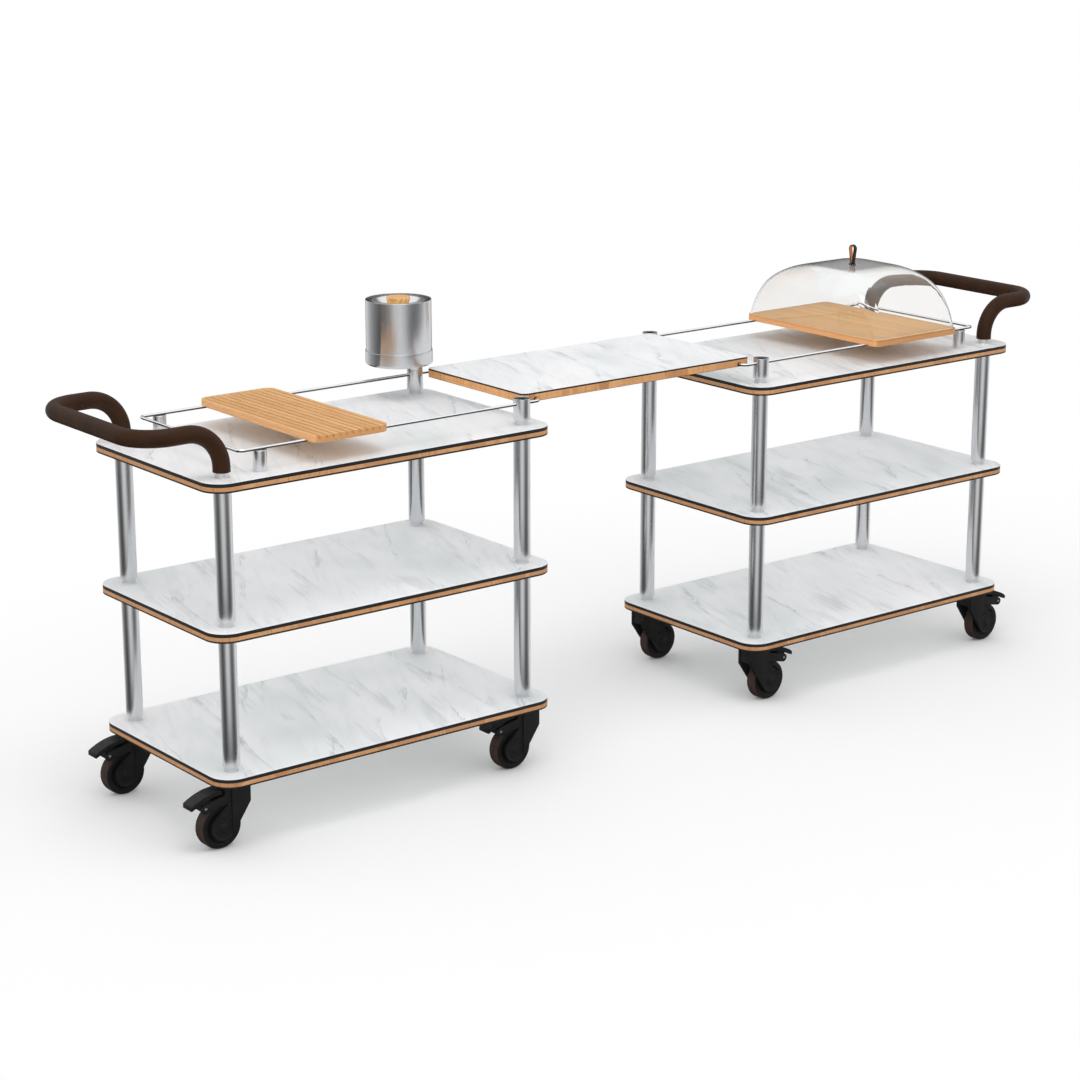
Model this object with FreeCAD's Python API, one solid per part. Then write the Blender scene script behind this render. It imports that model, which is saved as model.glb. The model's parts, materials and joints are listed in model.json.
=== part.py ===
"""Buffet cart set: two three-shelf trolleys joined by a bridge board, with boards, cover and container.

Millimetres. +Z is up, +X runs along the set from the left cart to the right cart, -Y faces the guest.
The origin lies on the floor, midway between the carts.
"""
import FreeCAD
import Part
import math
import os

V = FreeCAD.Vector
UP = V(0, 0, 1)

# Fits
fixed_gap = 0.05       # radial gap where two pieces are pressed or glued together
running_gap = 0.05     # radial gap of a pin or shaft that turns in its hole
resting_gap = 0.3      # gap between a loose piece and what carries it
passing_gap = 0.5      # gap under a board where it slides over a stand-off
overcut = 1.0          # how far a cut runs past the face that it opens

# Shelves
shelf_length = 900.0
shelf_width = 525.0
shelf_corner = 50.0
laminate_thickness = 7.5
core_thickness = 10.5
backing_thickness = 3.0
bottom_shelf_top = 166.0
shelf_pitch = 323.5
shelf_levels = 3
cart_gap = 620.0

# Posts
post_inset = 56.0
post_diameter = 38.0
post_wall = 1.5
tall_post_rise = 60.5
foot_neck_diameter = 30.0
foot_neck_height = 12.0
foot_spigot_height = 12.0
tie_rod_diameter = 12.0
tie_rod_clearance = 0.5
nut_width = 19.0
nut_height = 7.0
rod_end_length = 1.5
cap_height = 25.0
cap_recess = 1.5
socket_diameter = 16.0
socket_depth = 22.0
socket_end_gap = 1.0

# Push handles
handle_diameter = 38.0
handle_wall = 1.5
handle_rise = 102.0
handle_reach = 192.0
handle_leg_bend = 80.0
handle_corner_bend = 75.0

# Gallery rails and bridge pins
rail_diameter = 7.0
rail_height = 48.0
rail_end_inset = 100.0
rail_bend = 14.0
rail_seat_depth = 6.0
standoff_diameter = 30.0
standoff_inset = 150.0
standoff_stud_diameter = 8.0
standoff_stud_length = 14.0
pin_setback = 1.5
pin_depth = 12.0
pin_reach = 19.0

# Bridge board
bridge_overlap = 37.0
bridge_width = 375.0
bridge_rise = 63.0
bridge_core_thickness = 19.0
bridge_laminate_thickness = 1.5
bridge_corner = 15.0

# Boards that ride on the rails
board_length = 480.0
board_thickness = 16.0
board_rise = 62.0
board_corner = 18.0
bread_board_width = 195.0
bread_board_setback = 167.5
ridge_pitch = 17.0
groove_width = 7.0
groove_depth = 3.5
serving_board_width = 293.0
serving_board_setback = 90.5
shadow_line_drop = 1.5
shadow_line_height = 2.0
shadow_line_depth = 1.5

# Clear cover and its strap
cover_width = 287.0
cover_length = 475.0
cover_height = 146.0
cover_wall = 4.0
cover_corner = 20.0
cover_end_radius = 65.0
cover_side_radius = 177.0
strap_width = 12.0
strap_thickness = 3.0
strap_loop_width = 19.0
strap_base_width = 14.0
strap_height = 49.0
strap_washer_diameter = 20.0
strap_washer_height = 2.0
strap_screw_diameter = 5.0
strap_head_diameter = 7.0
strap_head_height = 1.5
strap_nut_diameter = 12.0
strap_nut_height = 4.0

# Container on the rear post of the left cart
container_offset = 45.0
container_diameter = 155.0
container_height = 153.0
container_wall = 1.5
container_rise = 80.0
container_base_height = 33.0
container_base_wall = 1.5
container_base_floor = 3.0
container_base_fillet = 6.0
pot_diameter = 124.0
pot_wall = 1.2
pot_rim_drop = 2.0
lid_flange_overlap = 1.5
lid_sheet = 1.2
lid_dish_depth = 19.0
lid_dish_top_diameter = 108.0
lid_dish_floor_diameter = 80.0
knob_diameter = 57.0
knob_base_diameter = 48.0
knob_edge = 3.0

# Casters
wheel_diameter = 100.0
wheel_width = 28.0
tyre_depth = 10.0
tyre_shoulder = 5.0
axle_diameter = 10.0
hub_boss_diameter = 20.0
hub_recess_diameter = 70.0
hub_recess_depth = 3.0
caster_trail = 38.0
flange_diameter = 60.0
flange_thickness = 4.0
king_pin_diameter = 16.0
king_pin_length = 28.0
king_pin_end_gap = 1.0
swivel_gap = 0.5
wheel_top_gap = 4.0
leg_thickness = 7.0
leg_gap = 2.0
leg_front = 31.0
leg_back = 16.0
leg_shoulder = 98.0
crown_corner = 10.0
hub_cover_radius = 30.0
ear_radius = 10.0
ear_root_height = 130.0
pedal_pivot_back = 80.0
pedal_pivot_height = 102.0
pedal_pin_diameter = 6.0
pedal_width = 38.0
pedal_thickness = 9.0
pedal_front_back = 36.0
pedal_front_height = 134.0
pedal_crown = 6.0
pedal_tip_back = 112.0
pedal_tip_height = 111.5
pedal_side_gap = 0.4
pedal_lug_radius = 9.0
pedal_rib_count = 5
pedal_rib_height = 1.2
pedal_rib_width = 2.5
pedal_rib_margin = 2.0

# Places worked out from the sizes above
shelf_thickness = laminate_thickness + core_thickness + backing_thickness
shelf_tops = [bottom_shelf_top + shelf_pitch * level for level in range(shelf_levels)]
top_deck = shelf_tops[-1]
caster_top = bottom_shelf_top - shelf_thickness
cart_x = (cart_gap + shelf_length) / 2
end_post_x = cart_gap / 2 + shelf_length - post_inset
bridge_post_x = cart_gap / 2 + post_inset
post_y = bridge_width / 2 + pin_reach
post_bore = post_diameter - 2 * post_wall
handle_bore = handle_diameter - 2 * handle_wall
foot_height = foot_neck_height + foot_spigot_height
stud_length = shelf_thickness + foot_height - nut_height
rail_z = top_deck + rail_height
rail_end_x = cart_gap / 2 + shelf_length - rail_end_inset
bread_board_x = -(rail_end_x - bread_board_setback - bread_board_width / 2)
serving_board_x = rail_end_x - serving_board_setback - serving_board_width / 2
wheel_radius = wheel_diameter / 2
container_x = -bridge_post_x - container_offset
container_floor = top_deck + container_rise
deck_of_boards = top_deck + board_rise
LEFT, RIGHT = -1, 1
CARTS = {"left": LEFT, "right": RIGHT}


def cylinder(diameter, low, high, x=0.0, y=0.0):
    return Part.makeCylinder(diameter / 2, high - low, V(x, y, low))


def ring(outer, inner, low, high, x=0.0, y=0.0):
    return cylinder(outer, low, high, x, y).cut(cylinder(inner, low, high, x, y))


def cross_pin(diameter, half_length, x, z):
    """A round bar along Y, centred on y = 0."""
    return Part.makeCylinder(diameter / 2, 2 * half_length, V(x, -half_length, z), V(0, 1, 0))


def box(x0, x1, y0, y1, z0, z1):
    return Part.makeBox(x1 - x0, y1 - y0, z1 - z0, V(x0, y0, z0))


def plate(length, width, corner, low, thickness, x=0.0):
    """A flat board with rounded corners, centred on y = 0."""
    slab = box(x - length / 2, x + length / 2, -width / 2, width / 2, low, low + thickness)
    uprights = [edge for edge in slab.Edges if abs(edge.tangentAt(edge.FirstParameter).z) > 0.9]
    return slab.makeFillet(corner, uprights)


def side_profile(points, half_width):
    """A closed outline in the XZ plane, extruded to both sides of y = 0."""
    corners = [V(x, -half_width, z) for x, z in points]
    face = Part.Face(Part.makePolygon(corners + corners[:1]))
    return face.extrude(V(0, 2 * half_width, 0))


def bent_path(points, bends):
    """Straight runs joined by tangent arcs; bends holds the radius at each inner point."""
    edges = []
    start = points[0]
    for before, corner, after, radius in zip(points, points[1:], points[2:], bends):
        inward = (before - corner).normalize()
        outward = (after - corner).normalize()
        half_turn = (math.pi - inward.getAngle(outward)) / 2
        reach = radius * math.tan(half_turn)
        arc_start = corner + inward * reach
        arc_end = corner + outward * reach
        centre = corner + (inward + outward).normalize() * (radius / math.cos(half_turn))
        middle = centre + (corner - centre).normalize() * radius
        if (arc_start - start).Length > 1e-6:
            edges.append(Part.makeLine(start, arc_start))
        edges.append(Part.Arc(arc_start, middle, arc_end).toShape())
        start = arc_end
    edges.append(Part.makeLine(start, points[-1]))
    return Part.Wire(edges)


def bent_bar(points, bends, diameter):
    path = bent_path(points, bends)
    direction = points[1] - points[0]
    section = Part.Wire(Part.makeCircle(diameter / 2, points[0], direction))
    return path.makePipeShell([section], True, False)


def post_places(side):
    """The four posts of one cart: handle end first, then bridge end."""
    return [(side * x, y) for x in (end_post_x, bridge_post_x) for y in (-post_y, post_y)]


def bridge_posts(side):
    return post_places(side)[2:]


def handle_posts(side):
    return post_places(side)[:2]


def standoff_places(side):
    x = side * (cart_x + shelf_length / 2 - standoff_inset)
    return [(x, -post_y), (x, post_y)]


def shelf_layer(side, level, low, thickness, stud_holes):
    """One layer of a shelf, drilled for the tie rods and, on the top shelf, for the stand-offs."""
    layer = plate(shelf_length, shelf_width, shelf_corner, low, thickness, side * cart_x)
    hole = tie_rod_diameter + 2 * tie_rod_clearance
    for x, y in post_places(side):
        layer = layer.cut(cylinder(hole, low - overcut, low + thickness + overcut, x, y))
    if stud_holes and level == shelf_levels - 1:
        seat = standoff_stud_diameter + 2 * fixed_gap
        for x, y in standoff_places(side):
            layer = layer.cut(cylinder(seat, top_deck - standoff_stud_length - overcut, top_deck + overcut, x, y))
    return layer


def shelf_laminates(side):
    """Compact laminate tops: a marble face on a black core."""
    return [shelf_layer(side, level, top - laminate_thickness, laminate_thickness, True)
            for level, top in enumerate(shelf_tops)]


def shelf_cores(side):
    return [shelf_layer(side, level, top - laminate_thickness - core_thickness, core_thickness, True)
            for level, top in enumerate(shelf_tops)]


def shelf_backings(side):
    return [shelf_layer(side, level, top - shelf_thickness, backing_thickness, False)
            for level, top in enumerate(shelf_tops)]


def rail_holes(x, y):
    """The two radial seats, one on each side of a tall post, for the rail and the bridge pin."""
    hole = rail_diameter / 2 + fixed_gap
    depth = rail_seat_depth + overcut
    inner = post_diameter / 2 - rail_seat_depth
    left = Part.makeCylinder(hole, depth, V(x - inner, y, rail_z), V(-1, 0, 0))
    right = Part.makeCylinder(hole, depth, V(x + inner, y, rail_z), V(1, 0, 0))
    return left.fuse(right)


def posts():
    """Tubes between the shelves, and the short tall-post tubes above the bridge ends."""
    tubes = []
    for side in (LEFT, RIGHT):
        for x, y in post_places(side):
            for lower, upper in zip(shelf_tops, shelf_tops[1:]):
                low, high = lower + foot_neck_height, upper - shelf_thickness
                tubes.append(ring(post_diameter, post_bore, low, high, x, y))
        for x, y in bridge_posts(side):
            low, high = top_deck + foot_neck_height, top_deck + tall_post_rise
            tubes.append(ring(post_diameter, post_bore, low, high, x, y).cut(rail_holes(x, y)))
    return tubes


def post_feet():
    """Necked plugs that stand on the shelves and centre the posts and the handle legs."""
    feet = []
    for side in (LEFT, RIGHT):
        feet += [post_foot(x, y, top, post_bore) for x, y in post_places(side) for top in shelf_tops[:-1]]
        feet += [post_foot(x, y, top_deck, handle_bore) for x, y in handle_posts(side)]
        feet += [post_foot(x, y, top_deck, post_bore) for x, y in bridge_posts(side)]
    return feet


def post_foot(x, y, top, tube_bore):
    neck = cylinder(foot_neck_diameter, top, top + foot_neck_height, x, y)
    spigot = cylinder(tube_bore - 2 * fixed_gap, top + foot_neck_height, top + foot_height, x, y)
    bore = cylinder(tie_rod_diameter + 2 * fixed_gap, top - overcut, top + foot_height + overcut, x, y)
    return neck.fuse(spigot).removeSplitter().cut(bore)


def hex_nut(x, y, low):
    corner = nut_width / 2 / math.cos(math.pi / 6)
    turns = [k * math.pi / 3 for k in range(7)]
    points = [V(x + corner * math.cos(turn), y + corner * math.sin(turn), low) for turn in turns]
    body = Part.Face(Part.makePolygon(points)).extrude(V(0, 0, nut_height))
    return body.cut(cylinder(tie_rod_diameter + 2 * fixed_gap, low - overcut, low + nut_height + overcut, x, y))


def tie_rods():
    """Rods that clamp each stack of posts and shelves, and the nut on top of each."""
    pieces = []
    nut_low = top_deck + foot_height
    rod_top = nut_low + nut_height + rod_end_length
    for side in (LEFT, RIGHT):
        for x, y in post_places(side):
            pieces.append(cylinder(tie_rod_diameter, caster_top + stud_length, rod_top, x, y))
            pieces.append(hex_nut(x, y, nut_low))
    return pieces


def post_caps():
    """Plugs in the tall posts, each with a socket for an accessory and seats for the rail ends."""
    caps = []
    for side in (LEFT, RIGHT):
        for x, y in bridge_posts(side):
            top = top_deck + tall_post_rise - cap_recess
            plug = cylinder(post_bore - 2 * fixed_gap, top - cap_height, top, x, y)
            plug = plug.cut(cylinder(socket_diameter, top - socket_depth, top + overcut, x, y))
            caps.append(plug.cut(rail_holes(x, y)))
    return caps


def handle(side):
    """A bent tube that rises from the two end posts and reaches out past the shelf."""
    foot = top_deck + foot_neck_height
    bar = top_deck + handle_rise
    leg_x = side * end_post_x
    bar_x = side * (end_post_x + handle_reach)
    points = [V(leg_x, -post_y, foot), V(leg_x, -post_y, bar), V(bar_x, -post_y, bar),
              V(bar_x, post_y, bar), V(leg_x, post_y, bar), V(leg_x, post_y, foot)]
    bends = [handle_leg_bend, handle_corner_bend, handle_corner_bend, handle_leg_bend]
    outer = bent_bar(points, bends, handle_diameter)
    return outer.cut(bent_bar(points, bends, handle_bore))


def rail(side):
    """A U of round bar that runs from tall post to tall post round the handle end."""
    start_x = side * (bridge_post_x + post_diameter / 2 - rail_seat_depth + fixed_gap)
    end_x = side * rail_end_x
    points = [V(start_x, -post_y, rail_z), V(end_x, -post_y, rail_z),
              V(end_x, post_y, rail_z), V(start_x, post_y, rail_z)]
    return bent_bar(points, [rail_bend, rail_bend], rail_diameter)


def rail_standoffs():
    """Short posts that carry the rails, grooved at the top and studded into the shelf."""
    pieces = []
    top = deck_of_boards - board_thickness - passing_gap
    seat_radius = rail_diameter / 2 + fixed_gap
    for side in (LEFT, RIGHT):
        for x, y in standoff_places(side):
            body = cylinder(standoff_diameter, top_deck, top, x, y)
            stud = cylinder(standoff_stud_diameter, top_deck - standoff_stud_length, top_deck, x, y)
            start = V(x - standoff_diameter, y, rail_z)
            seat = Part.makeCylinder(seat_radius, 2 * standoff_diameter, start, V(1, 0, 0))
            pieces.append(body.fuse(stud).cut(seat))
    return pieces


def pin_x(side):
    return side * (cart_gap / 2 + pin_setback)


def bridge_pins():
    """Bent bars from the tall posts into the sides of the bridge board."""
    pins = []
    for side in (LEFT, RIGHT):
        for x, y in bridge_posts(side):
            inward = -math.copysign(1, y)
            start = V(x - side * (post_diameter / 2 - rail_seat_depth + fixed_gap), y, rail_z)
            corner = V(pin_x(side), y, rail_z)
            end = V(pin_x(side), inward * -1 * (bridge_width / 2 - pin_depth), rail_z)
            pins.append(bent_bar([start, corner, end], [rail_bend], rail_diameter))
    return pins


def bridge_plate(low, thickness):
    return plate(cart_gap + 2 * bridge_overlap, bridge_width, bridge_corner, low, thickness)


def bridge_board():
    low = top_deck + bridge_rise - bridge_laminate_thickness - bridge_core_thickness
    board = bridge_plate(low, bridge_core_thickness)
    hole = rail_diameter / 2 + fixed_gap
    for side in (LEFT, RIGHT):
        for end in (-1, 1):
            mouth = V(pin_x(side), end * (bridge_width / 2 + overcut), rail_z)
            board = board.cut(Part.makeCylinder(hole, pin_depth + fixed_gap + overcut, mouth, V(0, -end, 0)))
    return board


def bridge_laminate():
    return bridge_plate(top_deck + bridge_rise - bridge_laminate_thickness, bridge_laminate_thickness)


def rail_notches(width, x):
    """Round-topped slots under a board, over both rails, open below."""
    low = deck_of_boards - board_thickness - overcut
    half = rail_diameter / 2 + resting_gap
    reach = width / 2 + overcut
    notches = []
    for y in (-post_y, post_y):
        slot = box(x - reach, x + reach, y - half, y + half, low, rail_z)
        crown = Part.makeCylinder(half, 2 * reach, V(x - reach, y, rail_z), V(1, 0, 0))
        notches.append(slot.fuse(crown))
    return notches


def notched_board(width, x):
    """A board that straddles both rails."""
    board = plate(width, board_length, board_corner, deck_of_boards - board_thickness, board_thickness, x)
    for notch in rail_notches(width, x):
        board = board.cut(notch)
    return board


def bread_board():
    """A board with crumb grooves along its whole length."""
    board = notched_board(bread_board_width, bread_board_x)
    count = int((bread_board_width - groove_width) / ridge_pitch)
    half = board_length / 2 + overcut
    low = deck_of_boards - groove_depth
    for k in range(count):
        left = bread_board_x + (k - (count - 1) / 2) * ridge_pitch - groove_width / 2
        board = board.cut(box(left, left + groove_width, -half, half, low, deck_of_boards + overcut))
    return board


def serving_board():
    """A plain board with a shadow line round its edge."""
    board = notched_board(serving_board_width, serving_board_x)
    low = deck_of_boards - shadow_line_drop - shadow_line_height

    def layer(grow):
        return plate(serving_board_width + 2 * grow, board_length + 2 * grow, board_corner + grow,
                     low, shadow_line_height, serving_board_x)

    return board.cut(layer(overcut).cut(layer(-shadow_line_depth)))


def arch_face(half, height, radius, along):
    """A flat-topped arch with an arc down each side, on upright legs where it is taller than the arc."""
    leg = max(height - radius, 0)
    drop = max(radius - height, 0)
    flat = half - math.sqrt(radius ** 2 - drop ** 2)
    tilt = math.acos(drop / radius) / 2

    def point(across, up):
        return along * across + UP * up

    def shoulder(sign):
        return point(sign * (flat + radius * math.sin(tilt)), height - radius + radius * math.cos(tilt))

    edges = [Part.makeLine(point(-half, 0), point(half, 0)),
             Part.Arc(point(half, leg), shoulder(1), point(flat, height)).toShape(),
             Part.makeLine(point(flat, height), point(-flat, height)),
             Part.Arc(point(-flat, height), shoulder(-1), point(-half, leg)).toShape()]
    if leg:
        edges += [Part.makeLine(point(sign * half, 0), point(sign * half, leg)) for sign in (1, -1)]
    return Part.Face(Part.Wire(Part.sortEdges(edges)[0]))


def cover_body(wall):
    """The cover's outer skin moved in by wall: a barrel with round-shouldered ends and rounded corners."""
    half_x = cover_width / 2 - wall
    half_y = cover_length / 2 - wall
    height = cover_height - wall
    ends = arch_face(half_x, height + overcut, cover_end_radius - wall, V(1, 0, 0))
    sides = arch_face(half_y, height, cover_side_radius - wall, V(0, 1, 0))
    ends.translate(V(0, -half_y, 0))
    sides.translate(V(-half_x, 0, 0))
    body = ends.extrude(V(0, 2 * half_y, 0)).common(sides.extrude(V(2 * half_x, 0, 0)))
    return body.common(plate(2 * half_x, 2 * half_y, cover_corner - wall, 0, height))


def cover():
    shell = cover_body(0).cut(cover_body(cover_wall))
    hole = strap_screw_diameter + 2 * fixed_gap
    shell = shell.cut(cylinder(hole, cover_height - 2 * cover_wall, cover_height + overcut))
    shell.translate(V(serving_board_x, 0, deck_of_boards + resting_gap))
    return shell


def strap():
    """A folded loop on a washer on top of the cover, and the screw and nut that hold them."""
    x = serving_board_x
    cover_top = deck_of_boards + resting_gap + cover_height
    base = cover_top + strap_washer_height
    seat_top = base + strap_thickness
    nut_top = cover_top - cover_wall - resting_gap
    nut_low = nut_top - strap_nut_height
    hole = strap_screw_diameter + 2 * fixed_gap
    outer = strap_outline(strap_loop_width / 2, strap_base_width / 2, base, base + strap_height)
    inner = strap_outline(strap_loop_width / 2 - strap_thickness, strap_base_width / 2 - strap_thickness,
                          seat_top, base + strap_height - strap_thickness)
    loop = outer.cut(inner).cut(cylinder(hole, base, seat_top, x))
    washer = ring(strap_washer_diameter, hole, cover_top, base, x)
    shank = cylinder(strap_screw_diameter, nut_low, seat_top, x)
    head = cylinder(strap_head_diameter, seat_top, seat_top + strap_head_height, x)
    nut = cylinder(strap_nut_diameter, nut_low, nut_top, x)
    return [loop, washer, shank.fuse(head).fuse(nut).removeSplitter()]


def strap_outline(half, base_half, low, high):
    """A loop that widens upward to a round top, strap_width wide along X."""
    left = serving_board_x - strap_width / 2
    across, up = tangent_point((base_half, low), (0, high - half), half, -1)
    points = [V(left, -across, up), V(left, -base_half, low), V(left, base_half, low), V(left, across, up)]
    edges = [Part.makeLine(a, b) for a, b in zip(points, points[1:])]
    edges.append(Part.Arc(points[3], V(left, 0, high), points[0]).toShape())
    return Part.Face(Part.Wire(edges)).extrude(V(strap_width, 0, 0))


def container_stub():
    """The stub that turns in the socket of the rear post and carries the container off-centre."""
    x, y = -bridge_post_x, post_y
    post_top = top_deck + tall_post_rise
    stub = cylinder(post_diameter, post_top + resting_gap, container_floor, x, y)
    pin_low = post_top - cap_recess - socket_depth + socket_end_gap
    pin = cylinder(socket_diameter - 2 * running_gap, pin_low, post_top + resting_gap, x, y)
    return stub.fuse(pin)


def rounded_cup(diameter, low, high, fillet):
    """A round billet at the container's axis with its lower edge rounded."""
    body = cylinder(diameter, low, high, container_x, post_y)
    bottom = [edge for edge in body.Edges if edge.Closed and edge.CenterOfMass.z < low + overcut]
    return body.makeFillet(fillet, bottom)


def container_base():
    """The cup that holds the container, in one piece with its stub and pivot pin."""
    inside = container_diameter + 2 * fixed_gap
    outside = inside + 2 * container_base_wall
    high = container_floor + container_base_height
    cup = rounded_cup(outside, container_floor, high, container_base_fillet)
    relief = container_base_fillet - container_base_wall
    hollow = rounded_cup(inside, container_floor + container_base_floor, high + overcut, relief)
    return cup.fuse(container_stub()).cut(hollow)


def container_sleeve():
    low = container_floor + container_base_fillet + container_base_floor
    high = container_floor + container_height
    inside = container_diameter - 2 * container_wall
    return ring(container_diameter, inside, low, high, container_x, post_y)


def pot_rim():
    return container_floor + container_height - pot_rim_drop - lid_sheet


def container_pot():
    low = container_floor + container_base_floor
    body = cylinder(pot_diameter, low, pot_rim(), container_x, post_y)
    inside = pot_diameter - 2 * pot_wall
    return body.cut(cylinder(inside, low + pot_wall, pot_rim() + overcut, container_x, post_y))


def lid_solid(grow, low, high):
    """The dished lid's outline: a flange over a cone; grow makes the cone wider for the outer side."""
    top_radius = lid_dish_top_diameter / 2 + grow
    floor_radius = lid_dish_floor_diameter / 2 + grow
    return Part.makeCone(floor_radius, top_radius, high - low, V(container_x, post_y, low))


def lid_floor():
    return pot_rim() + resting_gap - lid_dish_depth


def container_lid():
    flange_low = pot_rim() + resting_gap
    flange_top = flange_low + lid_sheet
    flange_diameter_of_lid = pot_diameter + 2 * lid_flange_overlap
    flange = cylinder(flange_diameter_of_lid, flange_low, flange_top, container_x, post_y)
    dish = lid_solid(lid_sheet, lid_floor(), flange_low)
    hollow = lid_solid(0, lid_floor() + lid_sheet, flange_top)
    return flange.fuse(dish).cut(hollow)


def container_knob():
    low = lid_floor() + lid_sheet
    high = container_floor + container_height
    foot = V(container_x, post_y, low)
    body = Part.makeCone(knob_base_diameter / 2, knob_diameter / 2, high - low, foot)
    top = [edge for edge in body.Edges if edge.Closed and edge.CenterOfMass.z > high - overcut]
    return body.makeFillet(knob_edge, top)


def caster_stem():
    """The fixed half of a swivel: a stud into the post, a flange under the shelf and a king pin."""
    flange_low = caster_top - flange_thickness
    stud = cylinder(tie_rod_diameter, caster_top, caster_top + stud_length)
    flange = cylinder(flange_diameter, flange_low, caster_top)
    pin = cylinder(king_pin_diameter, flange_low - king_pin_length, flange_low)
    return stud.fuse(flange).fuse(pin).removeSplitter()


def leg_inner():
    return wheel_width / 2 + leg_gap


def tangent_point(point, centre, radius, turn):
    """Where a line from a point touches a circle, in the XZ plane; turn picks the side."""
    across, up = centre[0] - point[0], centre[1] - point[1]
    distance = math.hypot(across, up)
    bearing = math.atan2(up, across) + turn * math.asin(radius / distance)
    reach = math.sqrt(distance ** 2 - radius ** 2)
    return point[0] + reach * math.cos(bearing), point[1] + reach * math.sin(bearing)


def lobe(centre, radius, points, half_width):
    """A round end with tangents that run out to a few points, listed anticlockwise."""
    first = tangent_point(points[0], centre, radius, 1)
    last = tangent_point(points[-1], centre, radius, -1)
    web = side_profile([first] + points + [last], half_width)
    return web.fuse(cross_pin(2 * radius, half_width, *centre))


def caster_fork():
    """The swivelling crown with its two legs, the axle and the pedal's pin; it trails to -X."""
    top = caster_top - flange_thickness - swivel_gap
    inner = leg_inner()
    half = inner + leg_thickness
    axle = (-caster_trail, wheel_radius)
    pivot = (-pedal_pivot_back, pedal_pivot_height)
    crown_low = wheel_diameter + wheel_top_gap
    crown = box(-leg_front, leg_front, -half, half, crown_low, top)
    strut = box(-leg_back, leg_front, -half, half, leg_shoulder, top)
    leg = lobe(axle, hub_cover_radius, [(leg_front, leg_shoulder), (-leg_back, leg_shoulder)], half)
    ear = lobe(pivot, ear_radius, [(0, crown_low), (0, ear_root_height)], half)
    back = -pedal_pivot_back - ear_radius - crown_corner
    plan = plate(leg_front - back, 2 * half, crown_corner, 0, caster_top, (leg_front + back) / 2)
    body = crown.fuse(strut).fuse(leg).fuse(ear).common(plan)
    wheel_slot = box(back, leg_front, -inner, inner, 0, crown_low)
    pedal_slot = box(back, -leg_front, -inner, inner, 0, caster_top)
    seat_low = top + swivel_gap - king_pin_length - king_pin_end_gap
    king_seat = cylinder(king_pin_diameter + 2 * running_gap, seat_low, top + swivel_gap)
    body = body.cut(wheel_slot).cut(pedal_slot).cut(king_seat)
    pins = []
    for diameter, place in ((axle_diameter, axle), (pedal_pin_diameter, pivot)):
        body = body.cut(cross_pin(diameter + 2 * fixed_gap, half, *place))
        pins.append(cross_pin(diameter, half, *place))
    return [body.removeSplitter()] + pins


def caster_wheel():
    hub_diameter = wheel_diameter - 2 * tyre_depth - 2 * fixed_gap
    hub = cross_pin(hub_diameter, wheel_width / 2, 0, 0)
    for end in (-1, 1):
        face = V(0, end * (wheel_width / 2 - hub_recess_depth), 0)
        outward = V(0, end, 0)
        hub = hub.cut(Part.makeCylinder(hub_recess_diameter / 2, hub_recess_depth + overcut, face, outward))
    boss = cross_pin(hub_boss_diameter, leg_inner() - resting_gap, 0, 0)
    bore = cross_pin(axle_diameter + 2 * running_gap, wheel_width, 0, 0)
    hub = hub.fuse(boss).cut(bore)
    hub.translate(V(-caster_trail, 0, wheel_radius))
    return hub


def caster_tyre():
    tyre = cross_pin(wheel_diameter, wheel_width / 2, 0, 0)
    rims = [edge for edge in tyre.Edges if edge.Closed]
    tyre = tyre.makeFillet(tyre_shoulder, rims)
    tyre = tyre.cut(cross_pin(wheel_diameter - 2 * tyre_depth, wheel_width, 0, 0))
    tyre.translate(V(-caster_trail, 0, wheel_radius))
    return tyre


def pedal_arc():
    """The circle that the pedal's upper face follows: its centre and radius in the XZ plane."""
    front = V(-pedal_front_back, 0, pedal_front_height)
    tip = V(-pedal_tip_back, 0, pedal_tip_height)
    chord = front - tip
    radius = chord.Length ** 2 / (8 * pedal_crown) + pedal_crown / 2
    rise = V(-chord.z, 0, chord.x).normalize()
    centre = (front + tip) * 0.5 + rise * (pedal_crown - radius)
    return centre.x, centre.z, radius


def pedal_top(x):
    centre_x, centre_z, radius = pedal_arc()
    return centre_z + math.sqrt(radius ** 2 - (x - centre_x) ** 2)


def pedal_plate():
    """The curved foot plate, the same thickness all along."""
    middle_x = -(pedal_front_back + pedal_tip_back) / 2
    half = pedal_width / 2

    def curve(drop):
        stations = (-pedal_front_back, middle_x, -pedal_tip_back)
        return [V(x, -half, pedal_top(x) - drop) for x in stations]

    upper, lower = curve(0), curve(pedal_thickness)
    edges = [Part.Arc(*upper).toShape(), Part.makeLine(upper[2], lower[2]),
             Part.Arc(*lower).toShape(), Part.makeLine(lower[0], upper[0])]
    outline = Part.Wire(Part.__sortEdges__(edges))
    return Part.Face(outline).extrude(V(0, pedal_width, 0))


def pedal_rib(x):
    left, right = x - pedal_rib_width / 2, x + pedal_rib_width / 2
    root = pedal_thickness / 2
    corners = [(left, pedal_top(left) - root), (right, pedal_top(right) - root),
               (right, pedal_top(right) + pedal_rib_height), (left, pedal_top(left) + pedal_rib_height)]
    return side_profile(corners, pedal_width / 2 - pedal_rib_margin)


def caster_pedal():
    """The brake lever: a ribbed foot plate on a lug that turns between the fork's ears."""
    x, z = -pedal_pivot_back, pedal_pivot_height
    right, left = x + 2 * pedal_lug_radius, x - pedal_lug_radius
    roots = [(right, pedal_top(right) - pedal_thickness / 2), (left, pedal_top(left) - pedal_thickness / 2)]
    body = pedal_plate().fuse(lobe((x, z), pedal_lug_radius, roots, leg_inner() - pedal_side_gap))
    step = (pedal_tip_back - pedal_pivot_back) / pedal_rib_count
    for k in range(pedal_rib_count):
        body = body.fuse(pedal_rib((k + 0.5) * step - pedal_tip_back))
    return body.removeSplitter().cut(cross_pin(pedal_pin_diameter + 2 * running_gap, pedal_width, x, z))


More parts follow.
